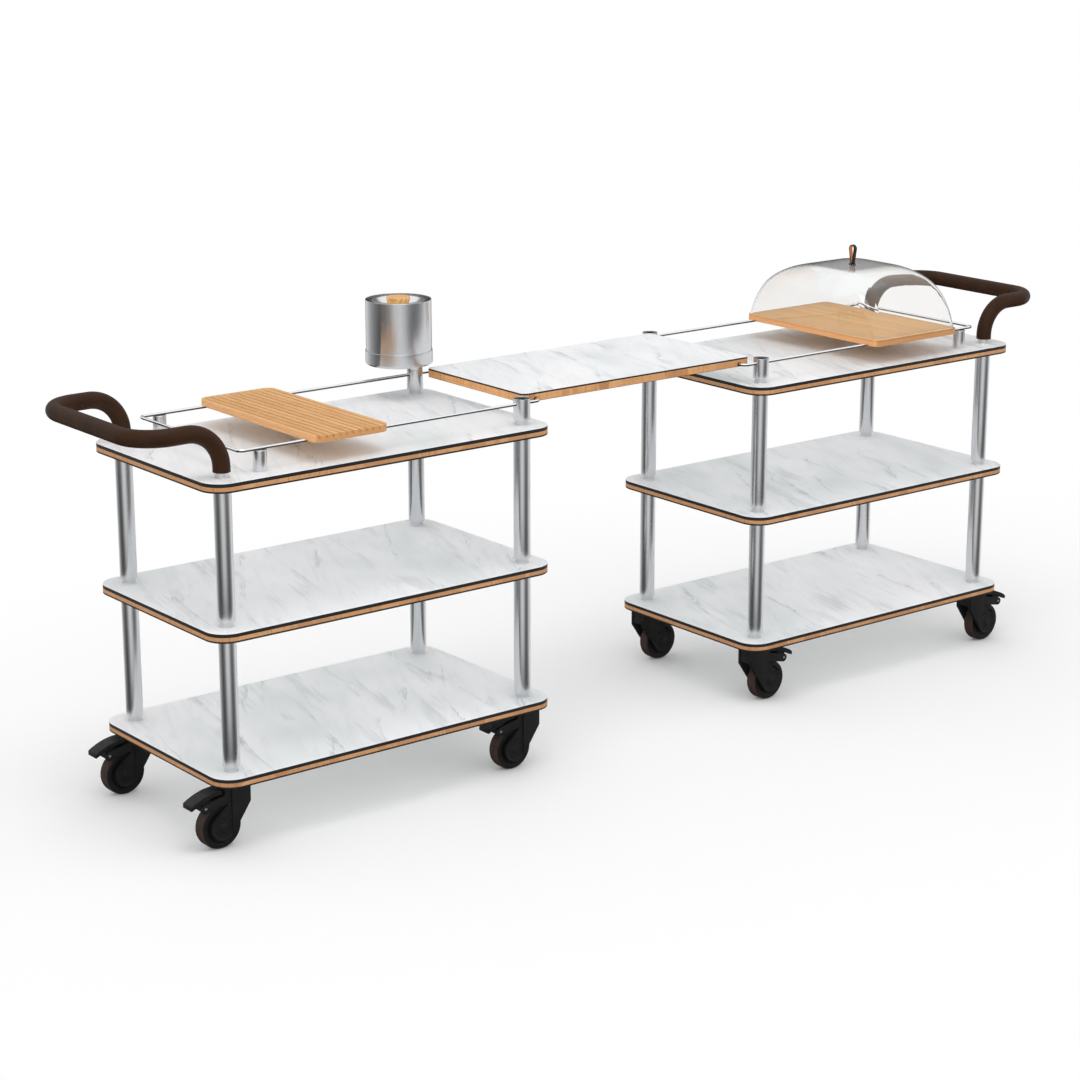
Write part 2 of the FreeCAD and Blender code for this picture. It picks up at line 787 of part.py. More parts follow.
def placed(shape, side, x, y):
    """A copy of a caster piece under one post; the right cart's casters trail the other way."""
    copy = shape.copy()
    if side == RIGHT:
        copy.rotate(V(0, 0, 0), UP, 180)
    copy.translate(V(x, y, 0))
    return copy


def write(name, solids):
    pieces = solids if isinstance(solids, list) else [solids]
    shape = Part.makeCompound(pieces) if len(pieces) > 1 else pieces[0]
    shape.exportStep(os.path.join("parts", name + ".step"))


def write_casters():
    fork, stem = caster_fork(), caster_stem()
    loose = {"wheel": caster_wheel(), "tyre": caster_tyre(), "pedal": caster_pedal()}
    corners = ("end_front", "end_back", "bridge_front", "bridge_back")
    stems = []
    for cart, side in CARTS.items():
        for corner, (x, y) in zip(corners, post_places(side)):
            name = cart + "_" + corner
            write(name + "_fork", [placed(piece, side, x, y) for piece in fork])
            for piece, shape in loose.items():
                write(name + "_" + piece, placed(shape, side, x, y))
            stems.append(placed(stem, side, x, y))
    write("caster_stems", stems)


def main():
    os.makedirs("parts", exist_ok=True)
    for cart, side in CARTS.items():
        write(cart + "_shelf_laminates", shelf_laminates(side))
        write(cart + "_shelf_cores", shelf_cores(side))
        write(cart + "_shelf_backings", shelf_backings(side))
        write(cart + "_handle", handle(side))
        write(cart + "_rail", rail(side))
    write("posts", posts())
    write("post_feet", post_feet())
    write("tie_rods", tie_rods())
    write("post_caps", post_caps())
    write("rail_standoffs", rail_standoffs())
    write("bridge_pins", bridge_pins())
    write("bridge_board", bridge_board())
    write("bridge_laminate", bridge_laminate())
    write("bread_board", bread_board())
    write("serving_board", serving_board())
    write("cover", cover())
    write("cover_strap", strap())
    write("container_base", container_base())
    write("container_sleeve", container_sleeve())
    write("container_pot", container_pot())
    write("container_lid", container_lid())
    write("container_knob", container_knob())
    write_casters()


main()
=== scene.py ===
"""Looks of the buffet cart set: two trolleys, a bridge board, boards, clear cover and container.

Metres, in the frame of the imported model: +X from the left cart to the right cart, -Y towards the guest.
"""
import json
import math

import bmesh
import bpy
from mathutils import Matrix, Vector

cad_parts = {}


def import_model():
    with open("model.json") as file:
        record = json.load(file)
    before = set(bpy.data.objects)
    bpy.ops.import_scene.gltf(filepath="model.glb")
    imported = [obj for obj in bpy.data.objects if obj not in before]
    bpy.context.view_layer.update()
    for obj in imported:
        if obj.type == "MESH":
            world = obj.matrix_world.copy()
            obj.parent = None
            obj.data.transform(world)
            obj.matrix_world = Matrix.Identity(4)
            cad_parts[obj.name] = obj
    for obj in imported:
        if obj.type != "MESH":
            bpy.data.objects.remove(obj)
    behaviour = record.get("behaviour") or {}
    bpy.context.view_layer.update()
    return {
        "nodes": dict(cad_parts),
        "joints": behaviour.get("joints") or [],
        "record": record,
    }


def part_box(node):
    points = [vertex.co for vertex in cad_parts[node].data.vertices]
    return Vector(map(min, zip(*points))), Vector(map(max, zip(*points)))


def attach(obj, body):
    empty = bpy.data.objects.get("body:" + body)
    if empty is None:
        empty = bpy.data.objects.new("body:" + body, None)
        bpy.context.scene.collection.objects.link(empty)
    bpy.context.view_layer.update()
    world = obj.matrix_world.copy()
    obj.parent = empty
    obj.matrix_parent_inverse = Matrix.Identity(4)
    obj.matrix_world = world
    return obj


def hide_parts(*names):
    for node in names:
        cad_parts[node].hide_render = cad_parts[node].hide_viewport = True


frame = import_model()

MM = 0.001
CARTS = {"left": -1, "right": 1}
FACES = {"front": -1, "back": 1}
ENDS = (-1, 1)
SHARP_ANGLE = math.radians(35)


# Sizes read from the frame

def low(node):
    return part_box(node)[0]


def high(node):
    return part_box(node)[1]


def middle(lowest, highest):
    """The (x, y) middle of a box."""
    return (lowest.x + highest.x) / 2, (lowest.y + highest.y) / 2


def half_size(lowest, highest):
    """Half a box's size along X and Y."""
    return (highest.x - lowest.x) / 2, (highest.y - lowest.y) / 2


MOUNT_HEIGHTS = {mount["name"]: mount["pos_m"][2] for mount in frame["record"]["mounts"]}
SHELF_TOPS = {level: MOUNT_HEIGHTS["left_" + level + "_shelf"] for level in ("bottom", "middle", "top")}
DECK = SHELF_TOPS["top"]
LAMINATE = SHELF_TOPS["bottom"] - low("left_shelf_laminates").z
CORE = low("left_shelf_laminates").z - low("left_shelf_cores").z
BACKING = low("left_shelf_cores").z - low("left_shelf_backings").z
SHELF = LAMINATE + CORE + BACKING
SWIVELS = {joint["name"].removesuffix("_swivel"): Vector(joint["pos_m"])
           for joint in frame["joints"] if joint["name"].endswith("_swivel")}
POST_RADIUS = high("posts").x - SWIVELS["right_end_front"].x
TALL_POST_TOP = high("posts").z
RAIL_RADIUS = (high("left_rail").z - low("left_rail").z) / 2
RAIL_Z = low("left_rail").z + RAIL_RADIUS

# Sizes of the details
SHELF_CORNER = 50 * MM
LAYER_EDGE = 0.6 * MM
FINE_EDGE = 0.5 * MM
MOULDED_EDGE = 0.6 * MM
ROUND_EDGE = 1 * MM
POST_WALL = 1.5 * MM
TUBE_EDGE = 0.5 * MM
NECK_RADIUS = 15 * MM
NECK_HEIGHT = 12 * MM
SPIGOT = 2 * MM
FOOT_FLARE = 1 * MM
FOOT_FLARE_TOP = 1.5 * MM
CAP_RECESS = 1.5 * MM
CAP_FLOOR = 3 * MM
SOCKET_RADIUS = 8 * MM
SOCKET_DEPTH = 22 * MM
SOCKET_CHAMFER = 1 * MM
HANDLE_RADIUS = 19 * MM
HANDLE_LEG_BEND = 80 * MM
HANDLE_CORNER_BEND = 75 * MM
RAIL_BEND = 14 * MM
STANDOFF_RADIUS = 15 * MM
STANDOFF_GAP = 0.5 * MM
BRIDGE_CORNER = 15 * MM
SHELF_LINE = 0.9 * MM
BRIDGE_LINE = 2.2 * MM
BRIDGE_BACKING = 1 * MM
PIN_SETBACK = 1.5 * MM
PIN_DEPTH = 12 * MM
PIN_HOLE_RADIUS = 5.5 * MM
PIN_RIM_PROUD = 0.3 * MM
PIN_RIM_SUNK = -1 * MM
PIN_RIM_EDGE = 0.2 * MM
BOARD_CORNER = 18 * MM
BOARD_EDGE = 0.8 * MM
BREAD_CORNER = 25 * MM
BREAD_EDGE = 2 * MM
BREAD_STATION = 0.75 * MM
RIDGE_PITCH = 17 * MM
RIDGE_CROWN = 0.7 * MM
GROOVE_WIDTH = 6 * MM
GROOVE_DEPTH = 2.8 * MM
GROOVE_RUN_OUT = 30 * MM
GROOVE_STEEPNESS = 1.6
SHADE_DROP = 0.4 * MM
TICK_LOW = 10 * MM
TICK_HIGH = 3 * MM
SHADOW_LINE_DROP = 1.5 * MM
SHADOW_LINE_HEIGHT = 2 * MM
SHADOW_LINE_DEPTH = 1.5 * MM
COVER_WALL = 2.5 * MM
COVER_FOOT_CORNER = 20 * MM
COVER_CROWN_CORNER = 42 * MM
COVER_END_RADIUS = 65 * MM
COVER_SIDE_RADIUS = 177 * MM
STRAP_WIDTH = 9.5 * MM
STRAP_THICKNESS = 3 * MM
STRAP_EDGE = 0.6 * MM
STRAP_LOOP_WIDTH = 20 * MM
STRAP_BASE_WIDTH = 8 * MM
WASHER_RADIUS = 9.5 * MM
WASHER_HEIGHT = 2 * MM
WASHER_TAPER = 1 * MM
SCREW_RADIUS = 3.5 * MM
SCREW_PROUD = 1.5 * MM
NUT_RADIUS = 6 * MM
NUT_GAP = 0.3 * MM
BAND_HEIGHT = 33 * MM
BAND_FILLET = 6 * MM
BAND_RIM = 4 * MM
CUP_FLOOR = 3 * MM
SLIP_GAP = 0.1 * MM
STUB_GAP = 0.3 * MM
SHEET = 1.5 * MM
SLEEVE_EDGE = 0.7 * MM
LID_DISH_TOP = 54 * MM
LID_DISH_FLOOR = 40 * MM
LID_SHEET = 1.2 * MM
LID_EDGE = 0.9 * MM
KNOB_RISE = 5 * MM
KNOB_FLARE = 1 * MM
KNOB_FOOT = 0.84
KNOB_EDGE = 2.5 * MM


# Materials

def srgb(red, green, blue):
    """A colour given in 0 to 255 screen values, as the linear values that a shader takes."""
    def linear(value):
        share = value / 255
        return share / 12.92 if share <= 0.04045 else ((share + 0.055) / 1.055) ** 2.4
    return linear(red), linear(green), linear(blue), 1.0


def tone(value):
    """A grey, a screen colour of three values, a linear one of four or a socket, as a shader takes it."""
    if isinstance(value, (int, float)):
        return value, value, value, 1.0
    return srgb(*value) if isinstance(value, tuple) and len(value) == 3 else value


class Nodes:
    """Short ways to add nodes to a tree."""

    def __init__(self, tree):
        self.tree = tree

    def node(self, kind, inputs=None, **settings):
        """Adds a shader node, with its settings first and then values or links for its inputs."""
        made = self.tree.nodes.new("ShaderNode" + kind)
        for name, value in settings.items():
            setattr(made, name, value)
        for key, value in (inputs or {}).items():
            self.put(made.inputs[key], value)
        return made

    def put(self, socket, value):
        if isinstance(value, bpy.types.NodeSocket):
            self.tree.links.new(value, socket)
        else:
            socket.default_value = value

    def axes(self, vector):
        return self.node("SeparateXYZ", {0: vector}).outputs

    def calc(self, operation, first, second=0.0, **settings):
        return self.node("Math", {0: first, 1: second}, operation=operation, **settings).outputs[0]

    def times(self, first, *others):
        for other in others:
            first = self.calc("MULTIPLY", first, other)
        return first

    def between(self, value, start, end, results=(0.0, 1.0), **settings):
        """A value's place between a start and an end, drawn over a range of results."""
        inputs = {"Value": value, "From Min": start, "From Max": end,
                  "To Min": results[0], "To Max": results[1]}
        return self.node("MapRange", inputs, **settings).outputs[0]

    def ramp(self, value, *stops):
        """Colours or greys at positions along 0 to 1."""
        made = self.node("ValToRGB", {0: value})
        elements = made.color_ramp.elements
        while len(elements) < len(stops):
            elements.new(0.5)
        for element, (position, colour) in zip(elements, stops):
            element.position = position
            element.color = tone(colour)
        return made.outputs[0]

    def mix(self, share, first, second):
        return self.node("Mix", {0: share, 6: tone(first), 7: tone(second)}, data_type="RGBA").outputs[2]


class Graph(Nodes):
    """One material's node tree round its Principled shader, with textures in the object's own metres."""

    def __init__(self, name, **sockets):
        self.material = bpy.data.materials.new(name)
        self.material.use_nodes = True
        super().__init__(self.material.node_tree)
        self.shader = next(n for n in self.tree.nodes if n.type == "BSDF_PRINCIPLED")
        for socket, value in sockets.items():
            self.feed(socket.replace("_", " "), value)
        self.coordinates = self.node("TexCoord").outputs
        self.place = self.coordinates["Object"]

    def feed(self, socket, value):
        self.put(self.shader.inputs[socket], value)

    def facing(self):
        """How far the surface faces along each of the object's axes."""
        return self.axes(self.coordinates["Normal"])

    def mapped(self, rates, tilt=0.0, shift=(0, 0, 0)):
        """Texture coordinates that run at so many units a metre along axes turned by tilt degrees."""
        settings = {"Vector": self.place, "Scale": tuple(1 / rate for rate in rates), "Location": shift,
                    "Rotation": (0, 0, math.radians(tilt))}
        return self.node("Mapping", settings, vector_type="TEXTURE").outputs[0]

    def noise(self, place, detail=2.0, roughness=0.5):
        settings = {"Vector": place, "Scale": 1.0, "Detail": detail, "Roughness": roughness}
        return self.node("TexNoise", settings).outputs["Fac"]

    def grain(self, rates, detail=2.0, roughness=0.5, tilt=0.0, shift=(0, 0, 0)):
        """Noise that varies so many times a metre along each axis."""
        return self.noise(self.mapped(rates, tilt, shift), detail, roughness)

    def crinkled(self, place, fineness, amount):
        """Texture coordinates shaken by a finer noise, which makes outlines ragged without breaking them."""
        settings = {"Vector": place, "Scale": fineness, "Detail": 2.0, "Roughness": 0.6}
        shake = self.node("TexNoise", settings).outputs["Color"]
        shift = self.node("VectorMath", {0: shake, 1: (0.5, 0.5, 0.5)}, operation="SUBTRACT").outputs[0]
        return self.node("VectorMath", {0: shift, 1: (amount, amount, amount), 2: place},
                         operation="MULTIPLY_ADD").outputs[0]

    def cells(self, rates, randomness):
        """A random grey for each cell of a jittered grid."""
        settings = {"Vector": self.mapped(rates), "Scale": 1.0, "Randomness": randomness}
        made = self.node("TexVoronoi", settings)
        return self.node("SeparateColor", {0: made.outputs["Color"]}).outputs[0]

    def bump(self, height, strength, depth):
        settings = {"Height": height, "Strength": strength, "Distance": depth}
        self.feed("Normal", self.node("Bump", settings).outputs[0])

    def finish(self, colour, grain, roughness, relief=None, stops=(0.3, 0.7)):
        """Feeds the shader a colour, a roughness by a grain, and the grain's (strength, depth) as relief."""
        self.feed("Base Color", colour)
        self.feed("Roughness", self.ramp(grain, *zip(stops, roughness)))
        if relief:
            self.bump(grain, *relief)
        return self.material


def veins(graph, tilt, rates, shift):
    """Thin ragged cracks that run mostly along Y: a soft halo on one side, broken into short runs."""
    across, along, up = rates
    place = graph.crinkled(graph.mapped(rates, tilt, shift), 9.0, 0.3)
    wander = graph.times(graph.noise(place, 1.0), 1.6)
    row = graph.calc("FRACT", graph.calc("ADD", graph.times(graph.axes(place)["X"], 0.6), wander))
    line = graph.ramp(row, (0.41, 0.0), (0.485, 0.32), (0.5, 1.0), (0.52, 0.0))
    runs = graph.grain((1.2 * across, 5.5 * along, up), 1.0, 0.5, tilt, (0.7, 0.3, 0.0))
    return graph.times(line, graph.ramp(runs, (0.46, 0.0), (0.6, 1.0)))


def flames(graph, tilt, rates, shift):
    """Narrow ragged patches drawn out along Y, each made of strands."""
    across, along, up = rates
    place = graph.crinkled(graph.mapped((5 * across, 1.8 * along, up), tilt, shift), 3.0, 0.3)
    strands = graph.noise(place, 1.0)
    swell = graph.noise(graph.crinkled(graph.mapped(rates, tilt, shift), 5.0, 0.25), 0.0)
    field = graph.calc("ADD", graph.times(swell, 0.62), graph.times(strands, 0.38))
    return graph.ramp(field, (0.58, 0.0), (0.65, 0.55), (0.73, 1.0))


def marble():
    """White laminate with clouds, faint streaks, grey patches and two sets of veins."""
    graph = Graph("marble_laminate", IOR=1.25)
    cloud = graph.grain((5, 2.2, 9), 2.0, 0.6, -20)
    colour = graph.ramp(cloud, (0.3, (226, 230, 230)), (0.5, (239, 240, 242)), (0.7, (247, 246, 247)))
    streaks = graph.grain((55, 8, 9), 2.0, 0.6, -26)
    colour = graph.mix(graph.ramp(streaks, (0.5, 0.0), (0.75, 0.3)), colour, (208, 213, 215))
    marks = ((flames(graph, -14, (18, 5.2, 9), (0.9, 0.2, 0.0)), 0.3, (170, 177, 178)),
             (veins(graph, -30, (10, 1.3, 9), (2.3, 0.9, 0.1)), 0.55, (168, 174, 176)),
             (veins(graph, -13, (8.5, 0.9, 9), (0.4, 0.7, 0.0)), 0.58, (156, 163, 165)))
    for mask, strength, tint in marks:
        colour = graph.mix(graph.times(mask, strength), colour, tint)
    return graph.finish(colour, graph.grain((30, 30, 30), 3.0), (0.3, 0.38))


def black_laminate():
    graph = Graph("black_laminate", IOR=1.35)
    grain = graph.grain((900, 900, 2500))
    colour = graph.ramp(grain, (0.3, (24, 25, 27)), (0.7, (36, 37, 39)))
    return graph.finish(colour, grain, (0.42, 0.56), (0.15, 0.0002))


def bamboo_edge(name, dark, light, tick, end):
    """The sawn edge of laminated bamboo: tinted blocks, level fibres and upright ticks; ends of one tint."""
    graph = Graph(name, IOR=1.4)
    block = graph.cells((16, 16, 12), 0.8)
    ticks = graph.grain((210, 210, 14), 2.0, 0.6)
    fibre = graph.grain((22, 22, 520), 3.0, 0.6)
    ends = graph.ramp(graph.calc("ABSOLUTE", graph.facing()["X"]), (0.6, 0.0), (0.85, 0.8))
    colour = graph.mix(ends, graph.ramp(block, (0.1, dark), (0.9, light)), end)
    colour = graph.mix(graph.ramp(fibre, (0.35, 0.5), (0.6, 0.0)), colour, dark)
    colour = graph.mix(graph.ramp(ticks, (0.32, 0.5), (0.46, 0.0)), colour, tick)
    return graph.finish(colour, ticks, (0.6, 0.46), (0.2, 0.0003))


def groove_count(half):
    """How many grooves the bread board has, from half its width."""
    return int((2 * half - GROOVE_WIDTH) / RIDGE_PITCH)


def groove_shade(graph, facing):
    """Painted shade for the bread board's grooves: darker with depth on its upper face, and dark ticks on its
    ends below each groove.
    """
    lowest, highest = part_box("bread_board")
    spot = graph.axes(graph.place)
    depth = graph.between(spot["Z"], highest.z - SHADE_DROP, highest.z - GROOVE_DEPTH)
    groove_floor_shade = graph.times(depth, graph.calc("GREATER_THAN", facing["Z"], 0.35))
    spread = (groove_count(half_size(lowest, highest)[0]) - 1) / 2 * RIDGE_PITCH
    first = middle(lowest, highest)[0] - spread
    phase = graph.between(spot["X"], first - RIDGE_PITCH / 2, first + RIDGE_PITCH / 2, clamp=False)
    tick = graph.ramp(graph.calc("FRACT", phase), (0.28, 0.0), (0.5, 1.0), (0.72, 0.0))
    upper = graph.between(spot["Z"], highest.z - TICK_LOW, highest.z - TICK_HIGH)
    ends = graph.calc("GREATER_THAN", graph.calc("ABSOLUTE", facing["Y"]), 0.5)
    return graph.calc("ADD", graph.times(groove_floor_shade, 0.45), graph.times(tick, upper, ends))


def bamboo_board(name, dark, light, line, side, end, index=1.4, grooved=False):
    """Bamboo strips along Y with fine fibres; redder sides, darker ends, and painted shade in the grooves."""
    graph = Graph(name, IOR=index)
    strip = graph.cells((52, 1.1, 20), 0.55)
    fibre = graph.grain((900, 14, 900), 3.0, 0.6)
    fleck = graph.grain((380, 26, 380), shift=(3, 1, 0))
    facing = graph.facing()
    colour = graph.ramp(strip, (0.1, dark), (0.9, light))
    for axis, tint in (("X", side), ("Y", end)):
        turned = graph.ramp(graph.calc("ABSOLUTE", facing[axis]), (0.6, 0.0), (0.8, 0.85))
        colour = graph.mix(turned, colour, tint)
    colour = graph.mix(graph.ramp(fibre, (0.35, 0.4), (0.6, 0.0)), colour, line)
    colour = graph.mix(graph.ramp(fleck, (0.6, 0.0), (0.75, 0.3)), colour, light)
    if grooved:
        # Painted shade: the grooves darken with depth, and the ends get dark ticks below them.
        colour = graph.mix(groove_shade(graph, facing), colour, line)
    return graph.finish(colour, fibre, (0.52, 0.42), (0.15, 0.0002))


def steel(name, tint, roughness, brushing, strength, turned=0.0, under=None):
    """Stainless steel with fine brushing; brushing gives how fast the marks vary along each axis.

    Turned spreads the reflections up and down, as marks that run round the Z axis do. Under is a painted
    reflection: the dark tint given to what faces down, standing in for dark surroundings that the steel
    mirrors below.
    """
    graph = Graph(name, Metallic=1.0, Anisotropic=turned, Anisotropic_Rotation=0.25)
    if turned:
        graph.feed("Tangent", graph.node("Tangent", direction_type="RADIAL", axis="Z").outputs[0])
    light = srgb(*tint)
    dark = tuple(0.95 * value for value in light[:3]) + (1,)
    colour = graph.ramp(graph.grain((9, 9, 9)), (0.3, dark), (0.7, light))
    if under:
        # Painted reflection: faces that point down are tinted dark, standing in for dark surroundings
        # mirrored below.
        colour = graph.mix(graph.ramp(graph.facing()["Z"], (0.12, 1.0), (0.4, 0.0)), colour, under)
    marks = graph.grain(brushing, 3.0, 0.65)
    return graph.finish(colour, marks, (roughness * 0.8, roughness * 1.25), (strength, 0.00006), (0.25, 0.75))


def coated(name, dark, light, roughness, pebble, strength, index=1.4):
    """A moulded or powder coated surface with a fine pebble."""
    graph = Graph(name, IOR=index)
    pebbles = graph.grain((pebble, pebble, pebble), 2.0, 0.55)
    colour = graph.ramp(graph.grain((24, 24, 24), 3.0), (0.3, dark), (0.7, light))
    return graph.finish(colour, pebbles, (roughness * 0.9, roughness * 1.12), (strength, 0.0002))


def clear_acrylic():
    """Clear sheet whose colour darkens where it is seen edge on: partly the real loss along a longer path
    through the sheet, mostly a painted shade that draws dark outlines round the cover.
    """
    graph = Graph("clear_acrylic", Transmission_Weight=1.0, IOR=1.49)
    haze = graph.grain((7, 7, 7), 3.0)
    clear = graph.ramp(haze, (0.3, (0.955, 0.965, 0.97, 1)), (0.7, (0.985, 0.99, 0.99, 1)))
    edge_on = graph.node("LayerWeight", {"Blend": 0.5}).outputs["Facing"]
    # Painted shade: near black where the sheet is seen edge on.
    edge_on_shade = graph.ramp(edge_on, (0.66, 0.0), (0.76, 0.45), (0.88, 1.0))
    return graph.finish(graph.mix(edge_on_shade, clear, (0.05, 0.05, 0.055, 1)), haze, (0.0, 0.02), stops=(0.3, 0.8))


def leather(name, dark, light, grain):
    graph = Graph(name, IOR=1.45)
    pores = graph.grain((grain, grain, grain), 3.0, 0.6)
    settings = {"Vector": graph.mapped((60, 60, 260)), "Scale": 1.0, "Distortion": 1.5}
    rows = graph.node("TexWave", settings, bands_direction="Z").outputs["Fac"]
    relief = graph.mix(0.4, pores, rows)
    graph.bump(relief, 0.45, 0.0004)
    return graph.finish(graph.ramp(relief, (0.25, dark), (0.75, light)), pores, (0.62, 0.45))


def turned_wood():
    """The knob: growth rings seen on its flat top, a little off the axis."""
    graph = Graph("turned_wood", IOR=1.45)
    place = graph.mapped((1, 0.75, 0.15), 25, (0.009, 0.004, 0))
    settings = {"Vector": place, "Scale": 58.0, "Distortion": 2.2, "Detail": 3.0, "Detail Scale": 0.9}
    rings = graph.node("TexWave", settings, wave_type="RINGS", rings_direction="Z").outputs["Fac"]
    fibre = graph.grain((900, 900, 60), 3.0)
    colour = graph.ramp(rings, (0.05, (202, 148, 86)), (0.4, (222, 172, 104)), (0.9, (234, 190, 124)))
    colour = graph.mix(graph.ramp(fibre, (0.35, 0.4), (0.6, 0.0)), colour, (188, 132, 70))
    return graph.finish(colour, fibre, (0.55, 0.42), (0.2, 0.0003))


def family(builder, rows):
    return {name: builder(name, *row) for name, row in rows.items()}


MATERIAL = {
    "marble": marble(),
    "black_laminate": black_laminate(),
    "clear_acrylic": clear_acrylic(),
    "turned_wood": turned_wood(),
    **family(bamboo_edge, {
        "shelf_bamboo": ((172, 122, 79), (194, 145, 99), (136, 88, 52), (182, 133, 90)),
        "bridge_bamboo": ((174, 121, 76), (204, 153, 100), (144, 92, 52), (232, 168, 108))}),
    **family(bamboo_board, {
        "bread_bamboo": ((213, 165, 101), (227, 181, 119), (146, 94, 44), (229, 168, 116), (188, 135, 86),
                         1.4, True),
        "serving_bamboo": ((200, 152, 93), (212, 167, 110), (180, 131, 77), (222, 160, 112), (176, 126, 86),
                           1.15)}),
    **family(steel, {
        "brushed_steel": ((222, 223, 225), 0.2, (60, 60, 2600), 0.06, 0.75),
        "satin_steel": ((214, 215, 217), 0.18, (40, 40, 3000), 0.04, 0.9),
        # Chrome's last value is a painted reflection: the dark tint on its downward faces.
        "chrome": ((250, 250, 251), 0.06, (300, 300, 900), 0.03, 0.0, (92, 93, 95)),
        "polished_steel": ((234, 235, 236), 0.06, (300, 300, 900), 0.04),
        "zinc_steel": ((170, 172, 176), 0.36, (200, 200, 500), 0.2)}),
    **family(coated, {
        "pale_laminate": ((234, 236, 236), (243, 244, 244), 0.5, 900, 0.1),
        "brown_coat": ((45, 26, 12), (53, 31, 15), 0.46, 1300, 0.12, 1.22),
        "black_nylon": ((16, 16, 17), (23, 23, 24), 0.5, 1500, 0.25, 1.36),
        "grey_nylon": ((32, 33, 35), (44, 45, 47), 0.52, 1500, 0.3),
        "black_cap": ((24, 24, 25), (34, 34, 35), 0.4, 1500, 0.2),
        "brown_rubber": ((44, 29, 23), (62, 43, 35), 0.62, 700, 0.35)}),
    **family(leather, {
        "dark_leather": ((26, 14, 6), (50, 30, 14), 900),
        "tan_leather": ((180, 110, 50), (208, 140, 74), 1100)}),
}


# Meshes

def add_skin(shape, loops, ring=False, bands=None, caps=(0, 0)):
    """Faces between closed loops of points; bands and caps give the material of each band and end."""
    rings = [[shape.verts.new(point) for point in loop] for loop in loops]
    pairs = list(zip(rings, rings[1:]))
    if ring:
        pairs.append((rings[-1], rings[0]))
    for band, (first, second) in enumerate(pairs):
        for k in range(len(first)):
            after = (k + 1) % len(first)
            face = shape.faces.new((first[k], first[after], second[after], second[k]))
            face.material_index = bands[band] if bands else 0
    if not ring:
        shape.faces.new(reversed(rings[0])).material_index = caps[0]
        shape.faces.new(rings[-1]).material_index = caps[1]


def finished(shape, name, *materials):
    """The mesh of a shape: points merged, faces turned outward, smooth up to the sharp edges."""
    bmesh.ops.remove_doubles(shape, verts=shape.verts, dist=1e-6)
    bmesh.ops.dissolve_degenerate(shape, edges=shape.edges, dist=1e-7)
    bmesh.ops.recalc_face_normals(shape, faces=shape.faces)
    mesh = bpy.data.meshes.new(name)
    shape.to_mesh(mesh)
    shape.free()
    for material in materials:
        mesh.materials.append(MATERIAL[material])
    mesh.shade_smooth()
    mesh.set_sharp_from_angle(angle=SHARP_ANGLE)
    return mesh


def placed(name, data):
    """A new object in the scene."""
    made = bpy.data.objects.new(name, data)
    bpy.context.scene.collection.objects.link(made)
    return made


def piece(name, mesh, body, node, place=(0, 0, 0), turn=0.0):
    """Puts a mesh in the scene as a piece that rides on a body and stands for a CAD node."""
    made = placed(name, mesh)
    made.matrix_world = Matrix.Translation(place) @ Matrix.Rotation(turn, 4, "Z")
    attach(made, body)
    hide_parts(node)
    return made


def soften(points, radius, closed=False, steps=4):
    """A 2-D line with its corners rounded, as far as its runs allow."""
    count = len(points)
    vectors = [Vector(point) for point in points]
    made = []
    for k, corner in enumerate(vectors):
        if not closed and k in (0, count - 1):
            made.append(tuple(corner))
            continue
        before, after = vectors[k - 1] - corner, vectors[(k + 1) % count] - corner
        reach = min(radius, 0.45 * before.length, 0.45 * after.length)
        start, end = corner + before.normalized() * reach, corner + after.normalized() * reach
        for i in range(steps + 1):
            t = i / steps
            made.append(tuple(start * (1 - t) ** 2 + corner * 2 * t * (1 - t) + end * t ** 2))
    return made


def plug(radius, bottom, top, edge):
    """The (radius, height) profile of a solid round bar."""
    return soften(((0, bottom), (radius, bottom), (radius, top), (0, top)), edge)


def rounded_rectangle(half_x, half_y, radius, z, centre=(0, 0), steps=8):
    """A loop round a rectangle with round corners."""
    points = []
    for k, (side_x, side_y) in enumerate(((1, 1), (-1, 1), (-1, -1), (1, -1))):
        for i in range(steps + 1):
            angle = math.pi / 2 * (k + i / steps)
            points.append((centre[0] + side_x * (half_x - radius) + radius * math.cos(angle),
                           centre[1] + side_y * (half_y - radius) + radius * math.sin(angle), z))
    return points


def skinned(name, materials, loops, ring=False, bands=None, caps=(0, 0)):
    """The mesh of one skin."""
    shape = bmesh.new()
    add_skin(shape, loops, ring, bands, caps)
    return finished(shape, name, *materials)


def slab(name, lowest, highest, corner, edge, materials, caps=(0, 0), insets=(), bands=None):
    """A slab with eased edges; insets adds (height, inset) loops between the edges."""
    centre, (half_x, half_y) = middle(lowest, highest), half_size(lowest, highest)
    heights = [(lowest.z, edge), (lowest.z + edge, 0.0), *insets, (highest.z - edge, 0.0), (highest.z, edge)]
    loops = [rounded_rectangle(half_x - inset, half_y - inset, corner - inset, z, centre)
             for z, inset in heights]
    return skinned(name, materials, loops, bands=bands, caps=caps)


def add_lathe(shape, profile, ring=False, segments=48, axis="Z", centre=(0, 0, 0)):
    """Turns (radius, height) points about an axis through a centre."""
    loops = []
    for radius, height in profile:
        loop = []
        for k in range(segments):
            angle = 2 * math.pi * k / segments
            across, up = radius * math.cos(angle), radius * math.sin(angle)
            spot = (across, up, height) if axis == "Z" else (across, height, up)
            loop.append(Vector(spot) + Vector(centre))
        loops.append(loop)
    add_skin(shape, loops, ring)


def lathe(name, profile, material, ring=False, segments=48, axis="Z", centre=(0, 0, 0)):
    shape = bmesh.new()
    add_lathe(shape, profile, ring, segments, axis, centre)
    return finished(shape, name, material)


